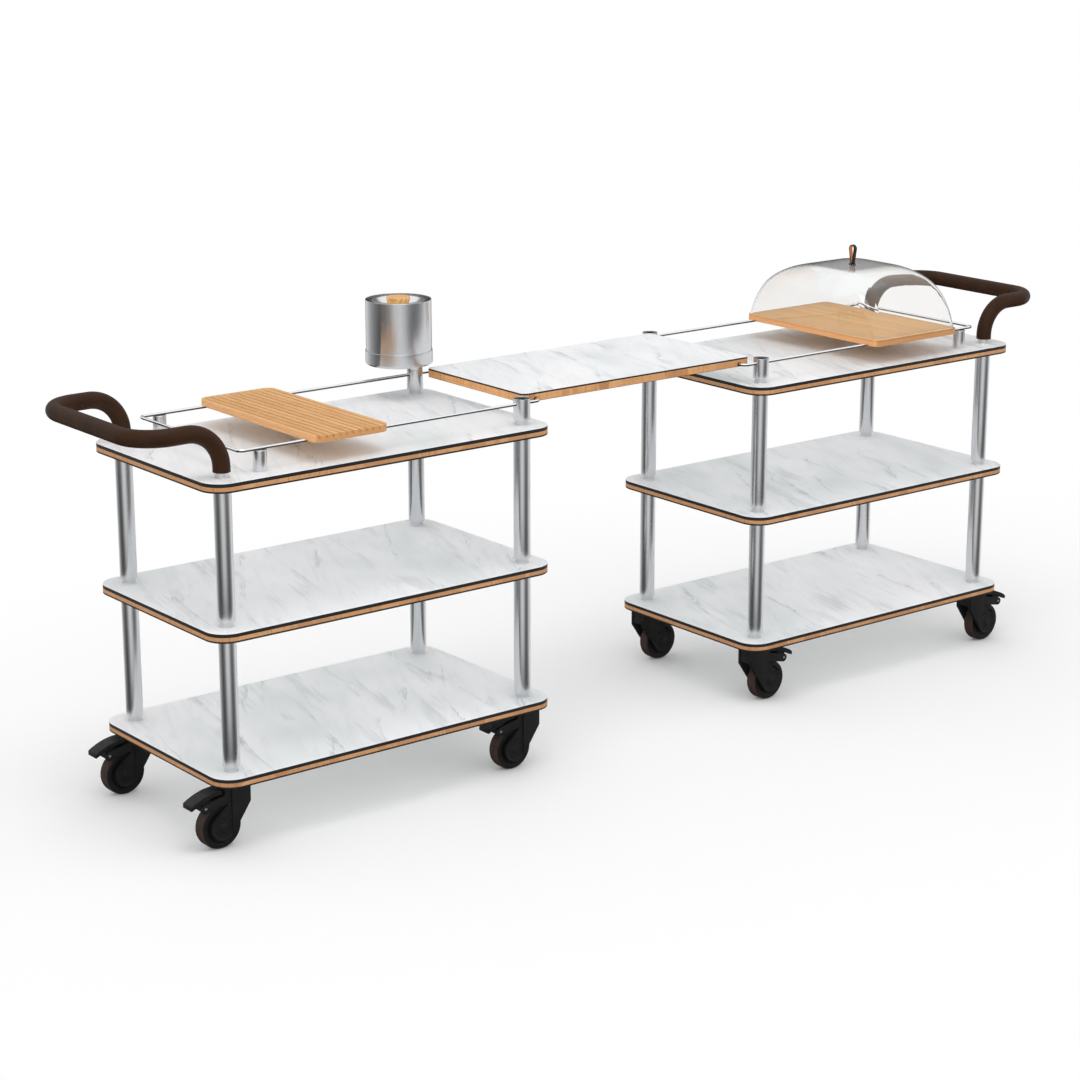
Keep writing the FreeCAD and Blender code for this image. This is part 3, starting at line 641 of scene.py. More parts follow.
def bent_path(points, bend_radii, steps):
    """A line with its corners turned into arcs."""
    vectors = [Vector(point) for point in points]
    made = [vectors[0]]
    for k, radius in enumerate(bend_radii, start=1):
        corner = vectors[k]
        before = (vectors[k - 1] - corner).normalized()
        after = (vectors[k + 1] - corner).normalized()
        half_turn = before.angle(after) / 2
        reach = radius / math.tan(half_turn)
        centre = corner + (before + after).normalized() * radius / math.sin(half_turn)
        start, end = corner + before * reach - centre, corner + after * reach - centre
        sweep = start.angle(end)
        for i in range(steps + 1):
            t = i / steps
            share = (math.sin((1 - t) * sweep) * start + math.sin(t * sweep) * end) / math.sin(sweep)
            made.append(centre + share)
    made.append(vectors[-1])
    return made


def bar(name, points, bend_radii, radius, material, segments=18, steps=12):
    """A bent round bar, its section carried round the bends without twist."""
    path = bent_path(points, bend_radii, steps)
    last = len(path) - 1
    tangents = [(path[min(k + 1, last)] - path[max(k - 1, 0)]).normalized() for k in range(last + 1)]
    across = tangents[0].orthogonal().normalized()
    angles = [2 * math.pi * i / segments for i in range(segments)]
    loops = []
    for k, (point, tangent) in enumerate(zip(path, tangents)):
        if k:
            across = tangents[k - 1].rotation_difference(tangent) @ across
        up = tangent.cross(across)
        loops.append([point + radius * (math.cos(a) * across + math.sin(a) * up) for a in angles])
    return skinned(name, (material,), loops)


def add_plate(shape, outline, near, far, edge):
    """An outline in the XZ plane given thickness along Y, with its rims eased."""
    bottom = [shape.verts.new((x, near, z)) for x, z in outline]
    top = [shape.verts.new((x, far, z)) for x, z in outline]
    faces = [shape.faces.new(bottom), shape.faces.new(reversed(top))]
    rims = [e for face in faces for e in face.edges]
    for k in range(len(outline)):
        after = (k + 1) % len(outline)
        shape.faces.new((bottom[k], top[k], top[after], bottom[after]))
    bmesh.ops.bevel(shape, geom=rims, offset=edge, segments=2, profile=0.6, affect="EDGES",
                    clamp_overlap=True)


# Shelves and bridge

def shelves():
    """Three layers per shelf: a marble faced laminate with a black core, bamboo, black backing."""
    # The laminate's top eased edge (its last band) takes the marble: a white band that is a painted highlight
    # along the shelf's top edge.
    layers = (("laminate", LAMINATE, ("black_laminate", "marble"), (0, 1), (0, 0, 1), "marble_laminate"),
              ("core", CORE, ("shelf_bamboo", "black_laminate"), (1, 1), (1, 1, 0, 1, 1), "bamboo_core"),
              ("backing", BACKING, ("black_laminate", "pale_laminate"), (1, 0), None, "black_backing"))
    for cart in CARTS:
        lowest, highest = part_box(cart + "_shelf_laminates")
        for level, top in SHELF_TOPS.items():
            z = top
            for layer, thickness, materials, caps, bands, slot in layers:
                name = cart + "_" + level + "_shelf_" + layer
                lines = ((z - thickness + SHELF_LINE, 0.0), (z - SHELF_LINE, 0.0)) if layer == "core" else ()
                corners = (Vector((lowest.x, lowest.y, z - thickness)), Vector((highest.x, highest.y, z)))
                mesh = slab(name, *corners, SHELF_CORNER, LAYER_EDGE, materials, caps, lines, bands)
                piece(name, mesh, "carts", cart + "_shelf_" + layer + "s")
                z -= thickness


def bridge():
    """The bridge board of bamboo blocks, its marble laminate, the pins and the holes they enter."""
    lowest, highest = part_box("bridge_board")
    lines = ((lowest.z + BRIDGE_BACKING, 0.0), (highest.z - BRIDGE_LINE, 0.0))
    mesh = slab("bridge_board", lowest, highest, BRIDGE_CORNER, LAYER_EDGE,
                ("bridge_bamboo", "black_laminate", "pale_laminate"), (2, 1), lines, (1, 1, 0, 1, 1))
    piece("bridge_board", mesh, "carts", "bridge_board")
    mesh = slab("bridge_laminate", *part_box("bridge_laminate"), BRIDGE_CORNER, LAYER_EDGE / 2,
                ("black_laminate", "marble"), (0, 1))
    piece("bridge_laminate", mesh, "carts", "bridge_laminate")
    rim = soften(((RAIL_RADIUS, PIN_RIM_SUNK), (PIN_HOLE_RADIUS, PIN_RIM_SUNK),
                  (PIN_HOLE_RADIUS, PIN_RIM_PROUD), (RAIL_RADIUS, PIN_RIM_PROUD)), PIN_RIM_EDGE, True)
    for cart, side in CARTS.items():
        pin_x = side * (abs(high("left_shelf_cores").x) + PIN_SETBACK)
        for face, end in FACES.items():
            post = SWIVELS[cart + "_bridge_" + face]
            board_side = end * highest.y
            points = ((post.x - side * (POST_RADIUS - PIN_DEPTH / 2), post.y, RAIL_Z),
                      (pin_x, post.y, RAIL_Z), (pin_x, board_side - end * PIN_DEPTH, RAIL_Z))
            name = cart + "_" + face + "_bridge_pin"
            mesh = bar(name, points, (RAIL_BEND,), RAIL_RADIUS, "chrome")
            piece(name, mesh, "carts", "bridge_pins")
            name = cart + "_" + face + "_pin_hole"
            profile = [(r, end * y) for r, y in rim]
            mesh = lathe(name, profile, "black_cap", True, 24, "Y", (pin_x, board_side, RAIL_Z))
            piece(name, mesh, "carts", "bridge_board")


# Frame tubes

def tube_profile(height):
    inside = POST_RADIUS - POST_WALL
    corners = ((POST_RADIUS, 0), (POST_RADIUS, height), (inside, height), (inside, 0))
    return soften(corners, TUBE_EDGE, True, 3)


def foot_profile():
    """A necked plug: a flat foot, the narrow neck, and the spigot that enters the tube."""
    inside, top = POST_RADIUS - POST_WALL, NECK_HEIGHT + SPIGOT
    return soften(((0, 0), (NECK_RADIUS + FOOT_FLARE, 0), (NECK_RADIUS, FOOT_FLARE_TOP),
                   (NECK_RADIUS, NECK_HEIGHT), (inside, NECK_HEIGHT), (inside, top), (0, top)), MOULDED_EDGE)


def cap_profile():
    """A recessed end cap with a socket down its middle; heights from the cap's face."""
    outer, bottom = POST_RADIUS - POST_WALL, -SOCKET_DEPTH - CAP_FLOOR
    return soften(((0, bottom), (outer, bottom), (outer, 0), (SOCKET_RADIUS + SOCKET_CHAMFER, 0),
                   (SOCKET_RADIUS, -SOCKET_CHAMFER), (SOCKET_RADIUS, -SOCKET_DEPTH),
                   (0, -SOCKET_DEPTH)), FINE_EDGE)


def post_stacks():
    """Four posts per cart: two tubes between the shelves, and a short capped one at the bridge end."""
    bay = SHELF_TOPS["middle"] - SHELF_TOPS["bottom"] - SHELF - NECK_HEIGHT
    tube = lathe("post_tube", tube_profile(bay), "brushed_steel", True, 64)
    short = lathe("tall_tube", tube_profile(TALL_POST_TOP - DECK - NECK_HEIGHT), "brushed_steel", True, 64)
    foot = lathe("post_foot", foot_profile(), "satin_steel")
    cap = lathe("post_cap", cap_profile(), "black_cap")
    for name, place in SWIVELS.items():
        for level, top in SHELF_TOPS.items():
            label = name + "_" + level
            piece(label + "_foot", foot, "carts", "post_feet", (place.x, place.y, top))
            spot = (place.x, place.y, top + NECK_HEIGHT)
            if level != "top":
                piece(label + "_post", tube, "carts", "posts", spot)
            elif "bridge" in name:
                piece(label + "_post", short, "carts", "posts", spot)
                piece(label + "_cap", cap, "carts", "post_caps",
                      (place.x, place.y, TALL_POST_TOP - CAP_RECESS))


def handles():
    """Bent push handles with a fine powder coat."""
    bends = (HANDLE_LEG_BEND, HANDLE_CORNER_BEND, HANDLE_CORNER_BEND, HANDLE_LEG_BEND)
    for cart, side in CARTS.items():
        lowest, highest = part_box(cart + "_handle")
        leg_x = SWIVELS[cart + "_end_front"].x
        half_y = SWIVELS[cart + "_end_back"].y
        bar_x = side * (max(abs(lowest.x), abs(highest.x)) - HANDLE_RADIUS)
        bar_z = highest.z - HANDLE_RADIUS
        points = ((leg_x, -half_y, lowest.z), (leg_x, -half_y, bar_z), (bar_x, -half_y, bar_z),
                  (bar_x, half_y, bar_z), (leg_x, half_y, bar_z), (leg_x, half_y, lowest.z))
        name = cart + "_handle_tube"
        mesh = bar(name, points, bends, HANDLE_RADIUS, "brown_coat", 40, 20)
        piece(name, mesh, "carts", cart + "_handle")


def rails():
    """Round bar galleries and the stand-offs that carry them."""
    profile = plug(STANDOFF_RADIUS, DECK, low("serving_board").z - STANDOFF_GAP, ROUND_EDGE)
    standoff = lathe("standoff", [(r, z - DECK) for r, z in profile], "brushed_steel")
    for cart, side in CARTS.items():
        lowest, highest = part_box(cart + "_rail")
        xs = sorted((abs(lowest.x), abs(highest.x)))
        start_x, end_x = side * xs[0], side * (xs[1] - RAIL_RADIUS)
        half_y = highest.y - RAIL_RADIUS
        points = ((start_x, -half_y, RAIL_Z), (end_x, -half_y, RAIL_Z), (end_x, half_y, RAIL_Z),
                  (start_x, half_y, RAIL_Z))
        name = cart + "_gallery_rail"
        mesh = bar(name, points, (RAIL_BEND, RAIL_BEND), RAIL_RADIUS, "chrome")
        piece(name, mesh, "carts", cart + "_rail")
        standoff_x = side * (high("rail_standoffs").x - STANDOFF_RADIUS)
        for face, end in FACES.items():
            piece(cart + "_" + face + "_standoff", standoff, "carts", "rail_standoffs",
                  (standoff_x, end * half_y, DECK))


# Boards

def ridge_height(x, half, top):
    """The bread board's upper face at a distance from its middle: round ridges between narrow grooves."""
    count = groove_count(half)
    phase = x / RIDGE_PITCH + (count - 1) / 2
    nearest = min(max(round(phase), 0), count - 1)
    offset = abs(phase - nearest) * RIDGE_PITCH
    groove = max(0.0, 1 - (offset / (GROOVE_WIDTH / 2)) ** 2)
    crown = min(offset / (RIDGE_PITCH / 2), 1)
    return top - GROOVE_DEPTH * min(1.0, GROOVE_STEEPNESS * groove) - RIDGE_CROWN * (1 - crown) ** 2


def bread_board():
    """A ridged board of upright sections along X; its grooves run out before its far end."""
    lowest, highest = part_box("bread_board")
    half_x, half_y = half_size(lowest, highest)[0], highest.y
    centre_x = middle(lowest, highest)[0]
    edge = BREAD_EDGE
    stations = int(2 * half_x / BREAD_STATION)
    loops = []
    for k in range(stations + 1):
        x = -half_x + 2 * half_x * k / stations
        into_corner = max(0.0, abs(x) - (half_x - BREAD_CORNER))
        reach = half_y - BREAD_CORNER + math.sqrt(max(BREAD_CORNER ** 2 - into_corner ** 2, 0))
        from_end = half_x - abs(x)
        ease = edge - math.sqrt(max(edge ** 2 - max(edge - from_end, 0) ** 2, 0))
        top, bottom = ridge_height(x, half_x, highest.z) - ease, lowest.z + ease
        section = soften(((-reach, bottom), (reach, bottom), (reach, highest.z - ease),
                          (reach - GROOVE_RUN_OUT, top), (-reach, top)), edge, True, 5)
        loops.append([(centre_x + x, y, z) for y, z in section])
    mesh = skinned("bread_board_ridged", ("bread_bamboo",), loops)
    piece("bread_board_ridged", mesh, "bread_board", "bread_board")


def serving_board():
    """A plain board with a shadow line round its edge."""
    lowest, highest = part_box("serving_board")
    line_top = highest.z - SHADOW_LINE_DROP
    line_low = line_top - SHADOW_LINE_HEIGHT
    insets = ((line_low, 0.0), (line_low, SHADOW_LINE_DEPTH), (line_top, SHADOW_LINE_DEPTH), (line_top, 0.0))
    mesh = slab("serving_board_plain", lowest, highest, BOARD_CORNER, BOARD_EDGE, ("serving_bamboo",),
                insets=insets)
    piece("serving_board_plain", mesh, "serving_board", "serving_board")


# Clear cover

def arch_half(z, half, height, radius):
    """Half the width at a height of a flat-topped arch with an arc down each side, upright below the arcs."""
    flat = half - math.sqrt(radius ** 2 - max(radius - height, 0) ** 2)
    up = max(z - (height - radius), 0)
    return flat + math.sqrt(max(radius ** 2 - up ** 2, 0))


def cover_loops(lowest, size, wall, steps=40):
    """Level loops of the cover's skin, moved in by wall, from the crown down to the foot."""
    centre = (lowest.x + size.x / 2, lowest.y + size.y / 2)
    height = size.z - wall
    loops = []
    for k in range(steps + 1):
        share = 1 - (k / steps) ** 2
        z = height * share
        half_x = arch_half(z, size.x / 2 - wall, height, COVER_END_RADIUS - wall)
        half_y = arch_half(z, size.y / 2 - wall, height, COVER_SIDE_RADIUS - wall)
        corner = COVER_FOOT_CORNER + (COVER_CROWN_CORNER - COVER_FOOT_CORNER) * share - wall
        corner = min(corner, 0.95 * half_x, 0.95 * half_y)
        loops.append(rounded_rectangle(half_x, half_y, corner, lowest.z + z, centre))
    return loops


def cover():
    """A clear thermoformed shell: a barrel with round-shouldered ends, with its outer and inner skins."""
    lowest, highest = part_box("cover")
    size = highest - lowest
    loops = cover_loops(lowest, size, 0.0) + list(reversed(cover_loops(lowest, size, COVER_WALL)))
    mesh = skinned("clear_cover", ("clear_acrylic",), loops)
    shell = piece("clear_cover", mesh, "cover", "cover")
    shell.visible_shadow = False


def tangent_angle(point, centre, radius, turn):
    """The angle on a circle at which a line from an outside point touches it; turn picks the side."""
    across, up = point[0] - centre[0], point[1] - centre[1]
    return math.atan2(up, across) + turn * math.acos(radius / math.hypot(across, up))


def arc(centre, radius, start, end, steps=14):
    angles = [start + (end - start) * k / steps for k in range(steps + 1)]
    return [(centre[0] + radius * math.cos(angle), centre[1] + radius * math.sin(angle)) for angle in angles]


def strap_outline(half, base_half, bottom, top):
    """A tear drop that widens upward to a round top, as (across, up) points."""
    centre = (0, top - half)
    start = tangent_angle((base_half, bottom), centre, half, 1)
    crown = arc(centre, half, start, math.pi - start, 20)
    touch_y, touch_z = crown[0]
    side = [(base_half + (touch_y - base_half) * t, bottom + (touch_z - bottom) * t)
            for t in (0.06, 0.35, 0.7)]
    foot = [(share * base_half, bottom) for share in (-0.8, -0.3, 0.3, 0.8)]
    return foot + side + crown + [(-y, z) for y, z in reversed(side)]


def strap():
    """A leather loop with a tan inner face, on its washer, held by a screw and nut."""
    lowest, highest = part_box("cover_strap")
    x = middle(lowest, highest)[0]
    cover_top = high("cover").z
    base = cover_top + WASHER_HEIGHT
    outer = strap_outline(STRAP_LOOP_WIDTH / 2, STRAP_BASE_WIDTH / 2, base, highest.z)
    inner = strap_outline(STRAP_LOOP_WIDTH / 2 - STRAP_THICKNESS, STRAP_BASE_WIDTH / 2 - STRAP_THICKNESS,
                          base + STRAP_THICKNESS, highest.z - STRAP_THICKNESS)
    half, edge = STRAP_WIDTH / 2, STRAP_EDGE

    def loop(outline, across, grow):
        centre = (base + highest.z) / 2
        return [(x + across, y * (1 + grow), centre + (z - centre) * (1 + grow)) for y, z in outline]

    ease = edge / (highest.z - base) * 2
    sections = ((outer, -half, -ease), (outer, -half + edge, 0.0), (outer, half - edge, 0.0),
                (outer, half, -ease), (inner, half, ease), (inner, half - edge, 0.0),
                (inner, -half + edge, 0.0), (inner, -half, ease))
    loops = [loop(*section) for section in sections]
    mesh = skinned("strap_loop", ("dark_leather", "tan_leather"), loops, True, (0, 0, 0, 0, 1, 1, 1, 0))
    piece("strap_loop", mesh, "cover", "cover_strap")
    washer = soften(((0, cover_top), (WASHER_RADIUS, cover_top), (WASHER_RADIUS - WASHER_TAPER, base),
                     (0, base)), MOULDED_EDGE)
    head = plug(SCREW_RADIUS, base, base + STRAP_THICKNESS + SCREW_PROUD, ROUND_EDGE)
    nut = plug(NUT_RADIUS, lowest.z, cover_top - COVER_WALL - NUT_GAP, ROUND_EDGE)
    lathes = (("strap_washer", washer, "black_cap"), ("strap_screw", head, "polished_steel"),
              ("strap_nut", nut, "polished_steel"))
    for name, profile, material in lathes:
        mesh = lathe(name, profile, material, False, 32)
        piece(name, mesh, "cover", "cover_strap", (x, 0, 0))


# Container

def container():
    """A steel container on a post: stub, banded base, sleeve, pot, dished lid and wooden knob."""
    base_low, base_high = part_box("container_base")
    sleeve_low, sleeve_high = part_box("container_sleeve")
    pot_low, pot_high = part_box("container_pot")
    lid_low, lid_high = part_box("container_lid")
    knob_low, knob_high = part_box("container_knob")
    spot = (*middle(sleeve_low, sleeve_high), 0)
    sleeve = half_size(sleeve_low, sleeve_high)[0]
    band = sleeve + SHEET
    floor = base_high.z - BAND_HEIGHT
    pot = half_size(pot_low, pot_high)[0]
    lid = half_size(lid_low, lid_high)[0]
    knob = half_size(knob_low, knob_high)[0]
    rim = sleeve_high.z

    cup = (soften(((0, floor), (band, floor), (band, base_high.z)), BAND_FILLET, steps=6)[:-1]
           + soften(((band, base_high.z - BAND_RIM), (band, base_high.z), (sleeve + SLIP_GAP, base_high.z),
                     (sleeve + SLIP_GAP, floor + BAND_FILLET), (0, floor + CUP_FLOOR)), FINE_EDGE, steps=3))
    wall = soften(((sleeve, sleeve_low.z), (sleeve, rim), (sleeve - SHEET, rim),
                   (sleeve - SHEET, sleeve_low.z)), SLEEVE_EDGE, True)
    inner_pot = soften(((0, pot_low.z), (pot, pot_low.z), (pot, pot_high.z), (pot - LID_SHEET, pot_high.z),
                        (pot - LID_SHEET, pot_low.z + LID_SHEET), (0, pot_low.z + LID_SHEET)), FINE_EDGE)
    under = lid_high.z - LID_SHEET
    dish = soften(((0, lid_low.z), (LID_DISH_FLOOR + LID_SHEET, lid_low.z), (LID_DISH_TOP + LID_SHEET, under),
                   (lid, under), (lid, lid_high.z), (LID_DISH_TOP, lid_high.z),
                   (LID_DISH_FLOOR, lid_low.z + LID_SHEET), (0, lid_low.z + LID_SHEET)), LID_EDGE)
    knob_top = knob_high.z + KNOB_RISE
    grip = soften(((0, knob_low.z), (KNOB_FOOT * knob, knob_low.z), (knob + KNOB_FLARE, knob_top),
                   (0, knob_top)), KNOB_EDGE, steps=6)
    lathes = (("cup", cup, "satin_steel", "container", "stainless_tube", "base"),
              ("wall", wall, "satin_steel", "container", "stainless_tube", "sleeve"),
              ("inner_pot", inner_pot, "polished_steel", "container", "polished_pot", "pot"),
              ("dish", dish, "polished_steel", "container_lid", "polished_pot", "lid"),
              ("wood_knob", grip, "turned_wood", "container_lid", "board_wood", "knob"))
    for label, profile, material, body, slot, node in lathes:
        name = "container_" + label
        mesh = lathe(name, profile, material, label == "wall", 96)
        piece(name, mesh, body, "container_" + node, spot)

    post = SWIVELS["left_bridge_back"]
    stub_low = TALL_POST_TOP + STUB_GAP
    stub = plug(POST_RADIUS, stub_low, floor, TUBE_EDGE)
    pin = plug(SOCKET_RADIUS - SLIP_GAP, base_low.z, stub_low, TUBE_EDGE)
    for name, profile, material, segments in (("container_stub", stub, "brushed_steel", 48),
                                              ("container_pin", pin, "polished_steel", 24)):
        mesh = lathe(name, profile, material, False, segments)
        piece(name, mesh, "container", "container_base", (post.x, post.y, 0))


# Casters, made once about the swivel's axis on the floor, trailing to -X

AXLE = (-38 * MM, 50 * MM)
AXLE_SPOT = (AXLE[0], 0, AXLE[1])
PIVOT = (-80 * MM, 102 * MM)
WHEEL_RADIUS = 50 * MM
HALF_WHEEL = 14 * MM
HUB_RADIUS = 40 * MM
TYRE_SHOULDER = 5 * MM
AXLE_HOLE = 5.1 * MM
BOSS_RADIUS = 10 * MM
WEB_RADIUS = 34 * MM
RIM_RADIUS = 36 * MM
WHEEL_COVER = 46.5 * MM
LEG_NEAR = 16 * MM
LEG_FAR = 23 * MM
LEG_ROOT = LEG_FAR - 1 * MM
LEG_FRONT = 31 * MM
LEG_BACK = -16 * MM
LEG_SHOULDER = 98 * MM
LEG_HEEL = 5 * MM
CROWN_LOW = 104 * MM
CROWN_TOP = 140.5 * MM
CROWN_CORNER = 4 * MM
HUB_COVER = 30 * MM
EAR_RADIUS = 10 * MM
EAR_ROOT = 130 * MM
EAR_STEP = 8 * MM
STRUT_PROUD = 2.2 * MM
STRUT_INSET = 0.5 * MM
STRUT_DROP = 4 * MM
STRUT_END = math.radians(-38)
COVER_PROUD = 1.2 * MM
RIVET_RADIUS = 3.4 * MM
RACE_RADIUS = 26 * MM
FLANGE_RADIUS = 30 * MM
FLANGE_EDGE = 0.4 * MM
PEDAL_HALF_WIDTH = 19 * MM
PEDAL_THICKNESS = 9 * MM
PEDAL_FRONT = (-36 * MM, 134 * MM)
PEDAL_TIP = (-112 * MM, 111.5 * MM)
PEDAL_CROWN = 6 * MM
PEDAL_STEPS = 16
PEDAL_RIBS = 9
RIB_HALF_SHARE = 0.3
RIB_SUNK = 1 * MM
RIB_PROUD = 1.2 * MM
PEDAL_TEETH = 4
TOOTH_START_MM = 7
TOOTH_PITCH_MM = 5
TOOTH_HALF = 1.8 * MM
TOOTH_ROOT = 1 * MM
TOOTH_DEPTH = 2 * MM
LUG_RADIUS = 9 * MM
LUG_SUNK = 5 * MM


def leg_outline():
    """One side of the fork: crown, ear for the pedal's pin, and the leg down round the hub."""
    ear_top = tangent_angle((0, EAR_ROOT), PIVOT, EAR_RADIUS, 1)
    ear_low = tangent_angle((0, CROWN_LOW), PIVOT, EAR_RADIUS, -1)
    hub_back = tangent_angle((LEG_BACK, LEG_SHOULDER), AXLE, HUB_COVER, 1)
    hub_front = tangent_angle((LEG_FRONT, LEG_SHOULDER), AXLE, HUB_COVER, -1)
    outline = [(LEG_FRONT, CROWN_TOP), (-LEG_FRONT, CROWN_TOP), (-LEG_FRONT, EAR_ROOT - EAR_STEP)]
    outline += arc(PIVOT, EAR_RADIUS, ear_top, ear_low + 2 * math.pi)
    outline += [(LEG_BACK - LEG_HEEL, CROWN_LOW)]
    outline += arc(AXLE, HUB_COVER, hub_back, hub_front + 2 * math.pi, 28)
    return outline + [(LEG_FRONT, LEG_SHOULDER)]


def strut_outline():
    """The raised strut that runs down from the crown over the hub cover."""
    hub_front = tangent_angle((LEG_FRONT, LEG_SHOULDER), AXLE, HUB_COVER, -1)
    low_end = arc(AXLE, HUB_COVER - STRUT_INSET, STRUT_END, hub_front, 8)
    points = [(LEG_FRONT, CROWN_TOP), (LEG_BACK, CROWN_TOP), (LEG_BACK, AXLE[1] - STRUT_DROP)]
    return points + low_end + [(LEG_FRONT - STRUT_INSET, LEG_SHOULDER)]


def paired_plates(name, outline, near, far, edge):
    """The same plate on both sides of the wheel."""
    shape = bmesh.new()
    for end in ENDS:
        add_plate(shape, outline, end * near, end * far, edge)
    return finished(shape, name, "black_nylon")


def paired_lathes(name, profile, material, segments, centre):
    """The same turned shape on both sides of the wheel, about an axle at an (x, z) centre."""
    shape = bmesh.new()
    for end in ENDS:
        add_lathe(shape, [(r, end * y) for r, y in profile], False, segments, "Y", (centre[0], 0, centre[1]))
    return finished(shape, name, material)


def hub_cover_mesh():
    """Raised round covers over the axle ends, with a stepped rim."""
    face = LEG_FAR + COVER_PROUD
    dish, boss = face - 0.8 * MM, face + 0.4 * MM
    rim, lip, well = HUB_COVER - 1 * MM, HUB_COVER - 4 * MM, HUB_COVER - 5.5 * MM
    boss_foot, boss_edge = 9 * MM, 8 * MM
    profile = soften(((0, LEG_ROOT), (rim, LEG_ROOT), (rim, face), (lip, face), (well, dish),
                      (boss_foot, dish), (boss_edge, boss), (0, boss)), MOULDED_EDGE, steps=3)
    return paired_lathes("caster_hub_cover", profile, "black_nylon", 48, AXLE)


def crown_mesh():
    """The block between the legs, under the swivel."""
    lowest, highest = Vector((-LEG_FRONT, -LEG_NEAR, CROWN_LOW)), Vector((LEG_FRONT, LEG_NEAR, CROWN_TOP))
    return slab("caster_crown", lowest, highest, CROWN_CORNER, ROUND_EDGE, ("black_nylon",))


def rivet_mesh():
    """The bright ends of the pedal's pin."""
    profile = soften(((0, LEG_ROOT), (RIVET_RADIUS, LEG_ROOT), (RIVET_RADIUS, LEG_FAR + 0.8 * MM),
                      (0, LEG_FAR + 1.6 * MM)), MOULDED_EDGE, steps=3)
    return paired_lathes("caster_rivet", profile, "zinc_steel", 20, PIVOT)


def flange_mesh():
    """The bright flange and race between the shelf and the fork's crown."""
    race, underside, top = CROWN_TOP + 0.6 * MM, CROWN_TOP + 0.9 * MM, CROWN_TOP + 4.4 * MM
    profile = soften(((0, CROWN_TOP), (RACE_RADIUS, CROWN_TOP), (RACE_RADIUS, race),
                      (FLANGE_RADIUS, underside), (FLANGE_RADIUS, top), (0, top)), FLANGE_EDGE, steps=3)
    return lathe("caster_flange", profile, "zinc_steel")


def wheel_mesh():
    """The black wheel body: a rim that covers the sides of the tread, a dished web and a boss."""
    boss, web = LEG_NEAR - 0.3 * MM, HALF_WHEEL - 3 * MM
    face, step = HALF_WHEEL + 0.6 * MM, HALF_WHEEL - 2 * MM
    half = [(AXLE_HOLE, boss), (BOSS_RADIUS, boss), (BOSS_RADIUS, web), (WEB_RADIUS, web), (RIM_RADIUS, face),
            (WHEEL_COVER, face), (WHEEL_COVER, step), (HUB_RADIUS, step)]
    profile = soften(half + [(r, -y) for r, y in reversed(half)], 0.7 * MM, True, 3)
    return lathe("caster_wheel", profile, "black_nylon", True, 64, "Y", AXLE_SPOT)


def tyre_mesh():
    """The brown tread with round shoulders."""
    inner, side = HUB_RADIUS + 0.1 * MM, HALF_WHEEL - 0.4 * MM
    corners = ((inner, -side), (WHEEL_RADIUS, -HALF_WHEEL), (WHEEL_RADIUS, HALF_WHEEL), (inner, side))
    profile = soften(corners, TYRE_SHOULDER, True, 6)
    return lathe("caster_tyre", profile, "brown_rubber", True, 72, "Y", AXLE_SPOT)


def pedal_top(x):
    """The pedal's upper face: a shallow arch over the chord from its front to its tip."""
    share = (x - PEDAL_TIP[0]) / (PEDAL_FRONT[0] - PEDAL_TIP[0])
    chord = PEDAL_TIP[1] + (PEDAL_FRONT[1] - PEDAL_TIP[1]) * share
    return chord + PEDAL_CROWN * 4 * share * (1 - share)


def pedal_mesh():
    """A curved foot plate and the lug that its pin goes through."""
    shape = bmesh.new()
    xs = [PEDAL_FRONT[0] + (PEDAL_TIP[0] - PEDAL_FRONT[0]) * k / PEDAL_STEPS for k in range(PEDAL_STEPS + 1)]
    upper = [(x, pedal_top(x)) for x in xs]
    lower = [(x, pedal_top(x) - PEDAL_THICKNESS) for x in reversed(xs)]
    add_plate(shape, upper + lower, -PEDAL_HALF_WIDTH, PEDAL_HALF_WIDTH, 1.6 * MM)
    lug = LEG_NEAR - 0.4 * MM
    right, left = PIVOT[0] + 18 * MM, PIVOT[0] - 9 * MM
    roots = [(x, pedal_top(x) - LUG_SUNK) for x in (right, left)]
    back = tangent_angle(roots[1], PIVOT, LUG_RADIUS, 1)
    front = tangent_angle(roots[0], PIVOT, LUG_RADIUS, -1)
    add_plate(shape, roots + arc(PIVOT, LUG_RADIUS, back, front + 2 * math.pi, 12), -lug, lug, 0.8 * MM)
    return finished(shape, "caster_pedal", "black_nylon")


def pedal_tread_mesh():
    """The ribbed grip on the outer half of the pedal, and the teeth under its tip."""
    shape = bmesh.new()
    start, end = PEDAL_TIP[0] + 2 * MM, PIVOT[0] + 6 * MM
    pitch = (end - start) / PEDAL_RIBS
    half = PEDAL_HALF_WIDTH - 1.5 * MM
    for k in range(PEDAL_RIBS):
        x = start + (k + 0.5) * pitch
        left, right = x - RIB_HALF_SHARE * pitch, x + RIB_HALF_SHARE * pitch
        outline = [(left, pedal_top(left) - RIB_SUNK), (right, pedal_top(right) - RIB_SUNK),
                   (right, pedal_top(right) + RIB_PROUD), (left, pedal_top(left) + RIB_PROUD)]
        add_plate(shape, outline, -half, half, 0.4 * MM)
    for k in range(PEDAL_TEETH):
        x = PEDAL_TIP[0] + (TOOTH_START_MM + TOOTH_PITCH_MM * k) * MM
        under = pedal_top(x) - PEDAL_THICKNESS
        root = under + TOOTH_ROOT
        outline = [(x - TOOTH_HALF, root), (x, under - TOOTH_DEPTH), (x + TOOTH_HALF, root)]
        add_plate(shape, outline, -half, half, 0.3 * MM)
    return finished(shape, "pedal_tread", "grey_nylon")


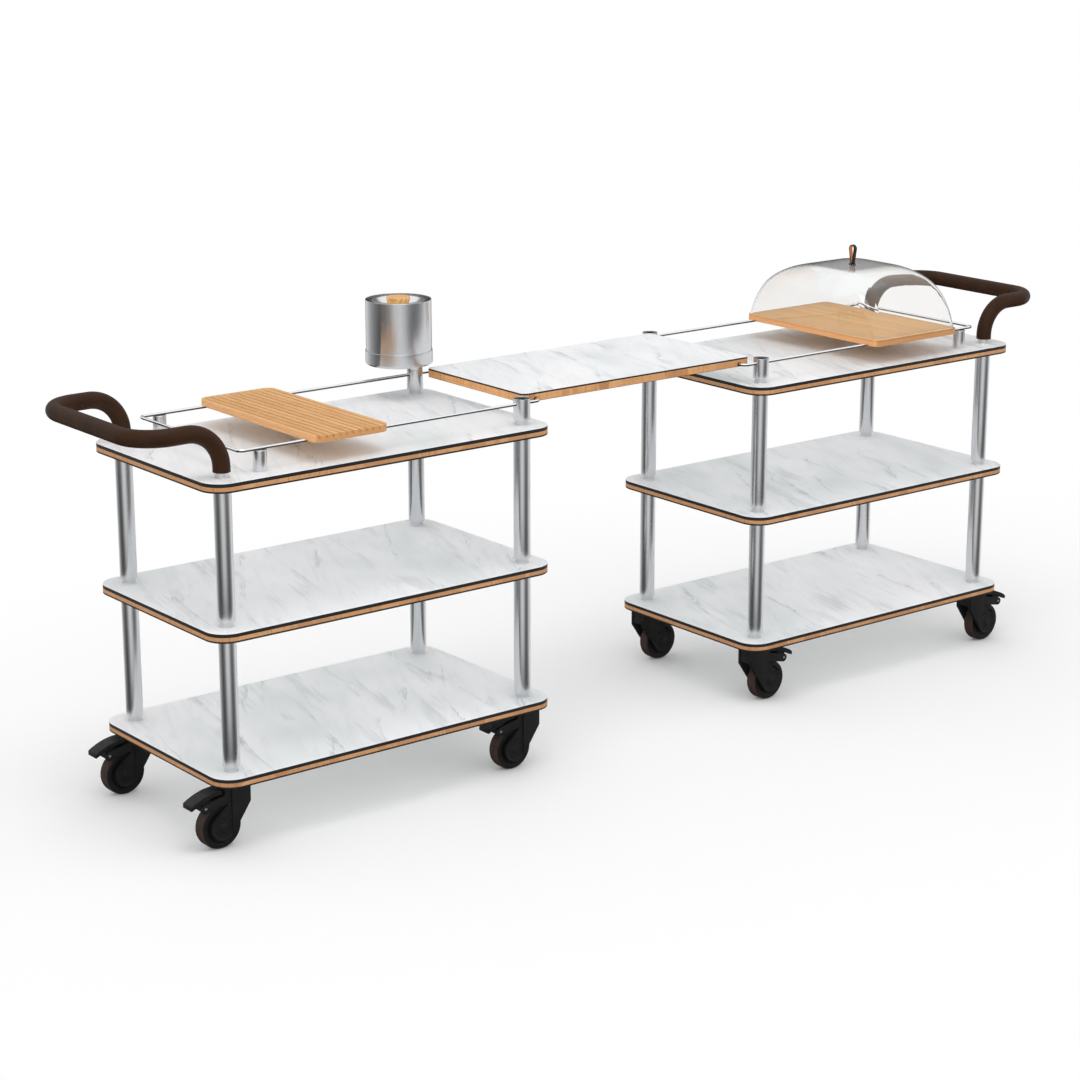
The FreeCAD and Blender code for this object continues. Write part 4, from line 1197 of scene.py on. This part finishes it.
def casters():
    """Eight braked swivel casters that share their meshes; the right cart's trail the other way."""
    fork = paired_plates("caster_fork", leg_outline(), LEG_NEAR, LEG_FAR, 1 * MM)
    strut = paired_plates("caster_strut", strut_outline(), LEG_ROOT, LEG_FAR + STRUT_PROUD, 1.2 * MM)
    parts = (("fork", fork, "caster", "black_plastic", "fork"),
             ("strut", strut, "caster", "black_plastic", "fork"),
             ("hub_cover", hub_cover_mesh(), "caster", "black_plastic", "fork"),
             ("crown", crown_mesh(), "caster", "black_plastic", "fork"),
             ("rivet", rivet_mesh(), "caster", "zinc_steel", "fork"),
             ("hub", wheel_mesh(), "wheel", "black_plastic", "wheel"),
             ("tread", tyre_mesh(), "wheel", "brown_tread", "tyre"),
             ("lever", pedal_mesh(), "pedal", "black_plastic", "pedal"),
             ("grip", pedal_tread_mesh(), "pedal", "black_plastic", "pedal"))
    flange = flange_mesh()
    for name, place in SWIVELS.items():
        turn = math.pi if name.startswith("right") else 0.0
        spot = (place.x, place.y, 0)
        for label, mesh, body, slot, node in parts:
            piece(name + "_" + label, mesh, name + "_" + body, name + "_" + node, spot, turn)
        piece(name + "_flange", flange, "carts", "caster_stems", spot)


def dress_hidden_nodes():
    """The rods inside the tubes keep their CAD shape and get a zinc finish."""
    node = frame["nodes"]["tie_rods"]
    node.data.materials.clear()
    node.data.materials.append(MATERIAL["zinc_steel"])


# Stage, light and camera; the studio's bearings are in degrees, and its heights are the Z of a unit direction

FLOOR_RADIUS = 14.0
FADE_START = 1.25
FADE_END = 3.0
FADE_DEPTH = 1.5
FLOOR_WHITE = 0.93
HORIZON_LIGHT = 2.35
ZENITH_LIGHT = 0.65
STUDIO_BEARING = -128.2
STUDIO_ROUND = ((-180, 0.08), (-164, 0.25), (-150, 0.85), (-140, 0.8), (-112, 0.45), (-92, 0.25), (-66, 0.07),
                (-45, 0.1), (-28, 0.3), (-10, 0.7), (10, 0.8), (24, 0.6), (40, 0.25), (58, 0.1), (75, 0.18),
                (95, 0.45), (114, 0.9), (150, 0.95), (164, 0.3), (180, 0.08))
STUDIO_UP = ((0.0, 0.7), (0.15, 0.75), (0.3, 0.9), (0.5, 1.0), (1.0, 1.0))
STUDIO_BACK = ((0.0, 0.06), (0.15, 0.15), (0.3, 0.4), (0.5, 0.8), (0.7, 1.0), (1.0, 1.0))
STUDIO_BACK_BEARINGS = (math.radians(110), math.radians(160))
STUDIO_GROUND = 0.06
GROUND_HEIGHTS = (-0.33, -0.5)
CEILING_HEIGHTS = (0.02, 0.2)
KEY_PLACE = (-0.9, -1.1, 5.0)
KEY_SIZE = 3.0
KEY_WATTS = 50.0
CAMERA_PLACE = (-3.8839, -4.7430, 2.1386)
CAMERA_TILT = 74.46
CAMERA_BEARING = -38.202
CAMERA_LENS = 87.02
CAMERA_CLIP_END = 100


def seen_rays(nodes, *kinds):
    """One for camera rays and the other kinds named, which see the white background."""
    path = nodes.node("LightPath").outputs
    share = path["Is Camera Ray"]
    for kind in kinds:
        share = nodes.calc("MAXIMUM", share, path[kind])
    return share


def floor():
    """A pale floor that keeps the shadow near the carts and melts into white further out."""
    shape = bmesh.new()
    bmesh.ops.create_circle(shape, cap_ends=True, radius=FLOOR_RADIUS, segments=96)
    mesh = bpy.data.meshes.new("floor")
    shape.to_mesh(mesh)
    shape.free()
    made = placed("floor", mesh)
    made.visible_glossy = False
    material = bpy.data.materials.new("floor_white")
    material.use_nodes = True
    nodes = Nodes(material.node_tree)
    nodes.tree.nodes.clear()
    place = nodes.node("TexCoord").outputs["Object"]
    deeper = nodes.node("VectorMath", {0: place, 1: (1, FADE_DEPTH, 1)}, operation="MULTIPLY")
    distance = nodes.node("VectorMath", {0: deeper.outputs[0]}, operation="LENGTH").outputs["Value"]
    fade = nodes.between(distance, FADE_START, FADE_END, interpolation_type="SMOOTHSTEP")
    share = nodes.times(fade, seen_rays(nodes, "Is Glossy Ray", "Is Transmission Ray"))
    diffuse = nodes.node("BsdfDiffuse", {"Color": tone(FLOOR_WHITE)})
    white = nodes.node("Emission")
    blend = nodes.node("MixShader", {0: share, 1: diffuse.outputs[0], 2: white.outputs[0]})
    nodes.node("OutputMaterial", {"Surface": blend.outputs[0]})
    mesh.materials.append(material)


def world():
    """A white studio, brighter low down, with dark flags and a ceiling lamp for the steel to mirror."""
    made = bpy.data.worlds.new("studio")
    bpy.context.scene.world = made
    made.use_nodes = True
    nodes = Nodes(made.node_tree)
    nodes.tree.nodes.clear()

    def shine(colour):
        return nodes.node("Background", {"Color": colour, "Strength": 1.0}).outputs[0]

    def blend(share, first, second):
        return nodes.node("MixShader", {0: share, 1: first, 2: second}).outputs[0]

    def smooth(value, ends):
        return nodes.between(value, *ends, interpolation_type="SMOOTHSTEP")

    place = nodes.node("TexCoord").outputs["Generated"]
    height = nodes.axes(place)["Z"]
    low_share = nodes.calc("POWER", nodes.calc("SUBTRACT", 1.0, height, use_clamp=True), 2.0)
    light = nodes.between(low_share, 0.0, 1.0, (ZENITH_LIGHT, HORIZON_LIGHT))
    turned = nodes.node("VectorRotate", {"Vector": place, "Angle": -math.radians(STUDIO_BEARING)},
                        rotation_type="Z_AXIS")
    sides = nodes.axes(turned.outputs[0])
    angle = nodes.calc("ARCTAN2", sides["Y"], sides["X"])
    walls = nodes.ramp(nodes.between(angle, -math.pi, math.pi),
                       *[((degrees + 180) / 360, grey) for degrees, grey in STUDIO_ROUND])
    behind = smooth(nodes.calc("ABSOLUTE", angle), STUDIO_BACK_BEARINGS)
    ceiling = nodes.mix(behind, nodes.ramp(height, *STUDIO_UP), nodes.ramp(height, *STUDIO_BACK))
    room = nodes.mix(smooth(height, CEILING_HEIGHTS), walls, ceiling)
    studio = nodes.mix(smooth(height, GROUND_HEIGHTS), room, STUDIO_GROUND)
    glossy = nodes.node("LightPath").outputs["Is Glossy Ray"]
    unseen = blend(glossy, shine(light), shine(studio))
    final = blend(seen_rays(nodes, "Is Transmission Ray"), unseen, shine(tone(1.0)))
    nodes.node("OutputWorld", {"Surface": final})


def key_light():
    lamp = bpy.data.lights.new("key", "AREA")
    lamp.shape = "DISK"
    lamp.size = KEY_SIZE
    lamp.energy = KEY_WATTS
    made = placed("key", lamp)
    made.location = KEY_PLACE
    made.rotation_euler = (-Vector(KEY_PLACE)).to_track_quat("-Z", "Y").to_euler()


def camera():
    lens = bpy.data.cameras.new("camera")
    lens.lens = CAMERA_LENS
    lens.clip_end = CAMERA_CLIP_END
    made = placed("camera", lens)
    made.location = CAMERA_PLACE
    made.rotation_euler = (math.radians(CAMERA_TILT), 0, math.radians(CAMERA_BEARING))
    bpy.context.scene.camera = made


shelves()
bridge()
post_stacks()
handles()
rails()
bread_board()
serving_board()
cover()
strap()
container()
casters()
dress_hidden_nodes()
floor()
world()
key_light()
camera()
bpy.context.scene.view_settings.view_transform = "Standard"
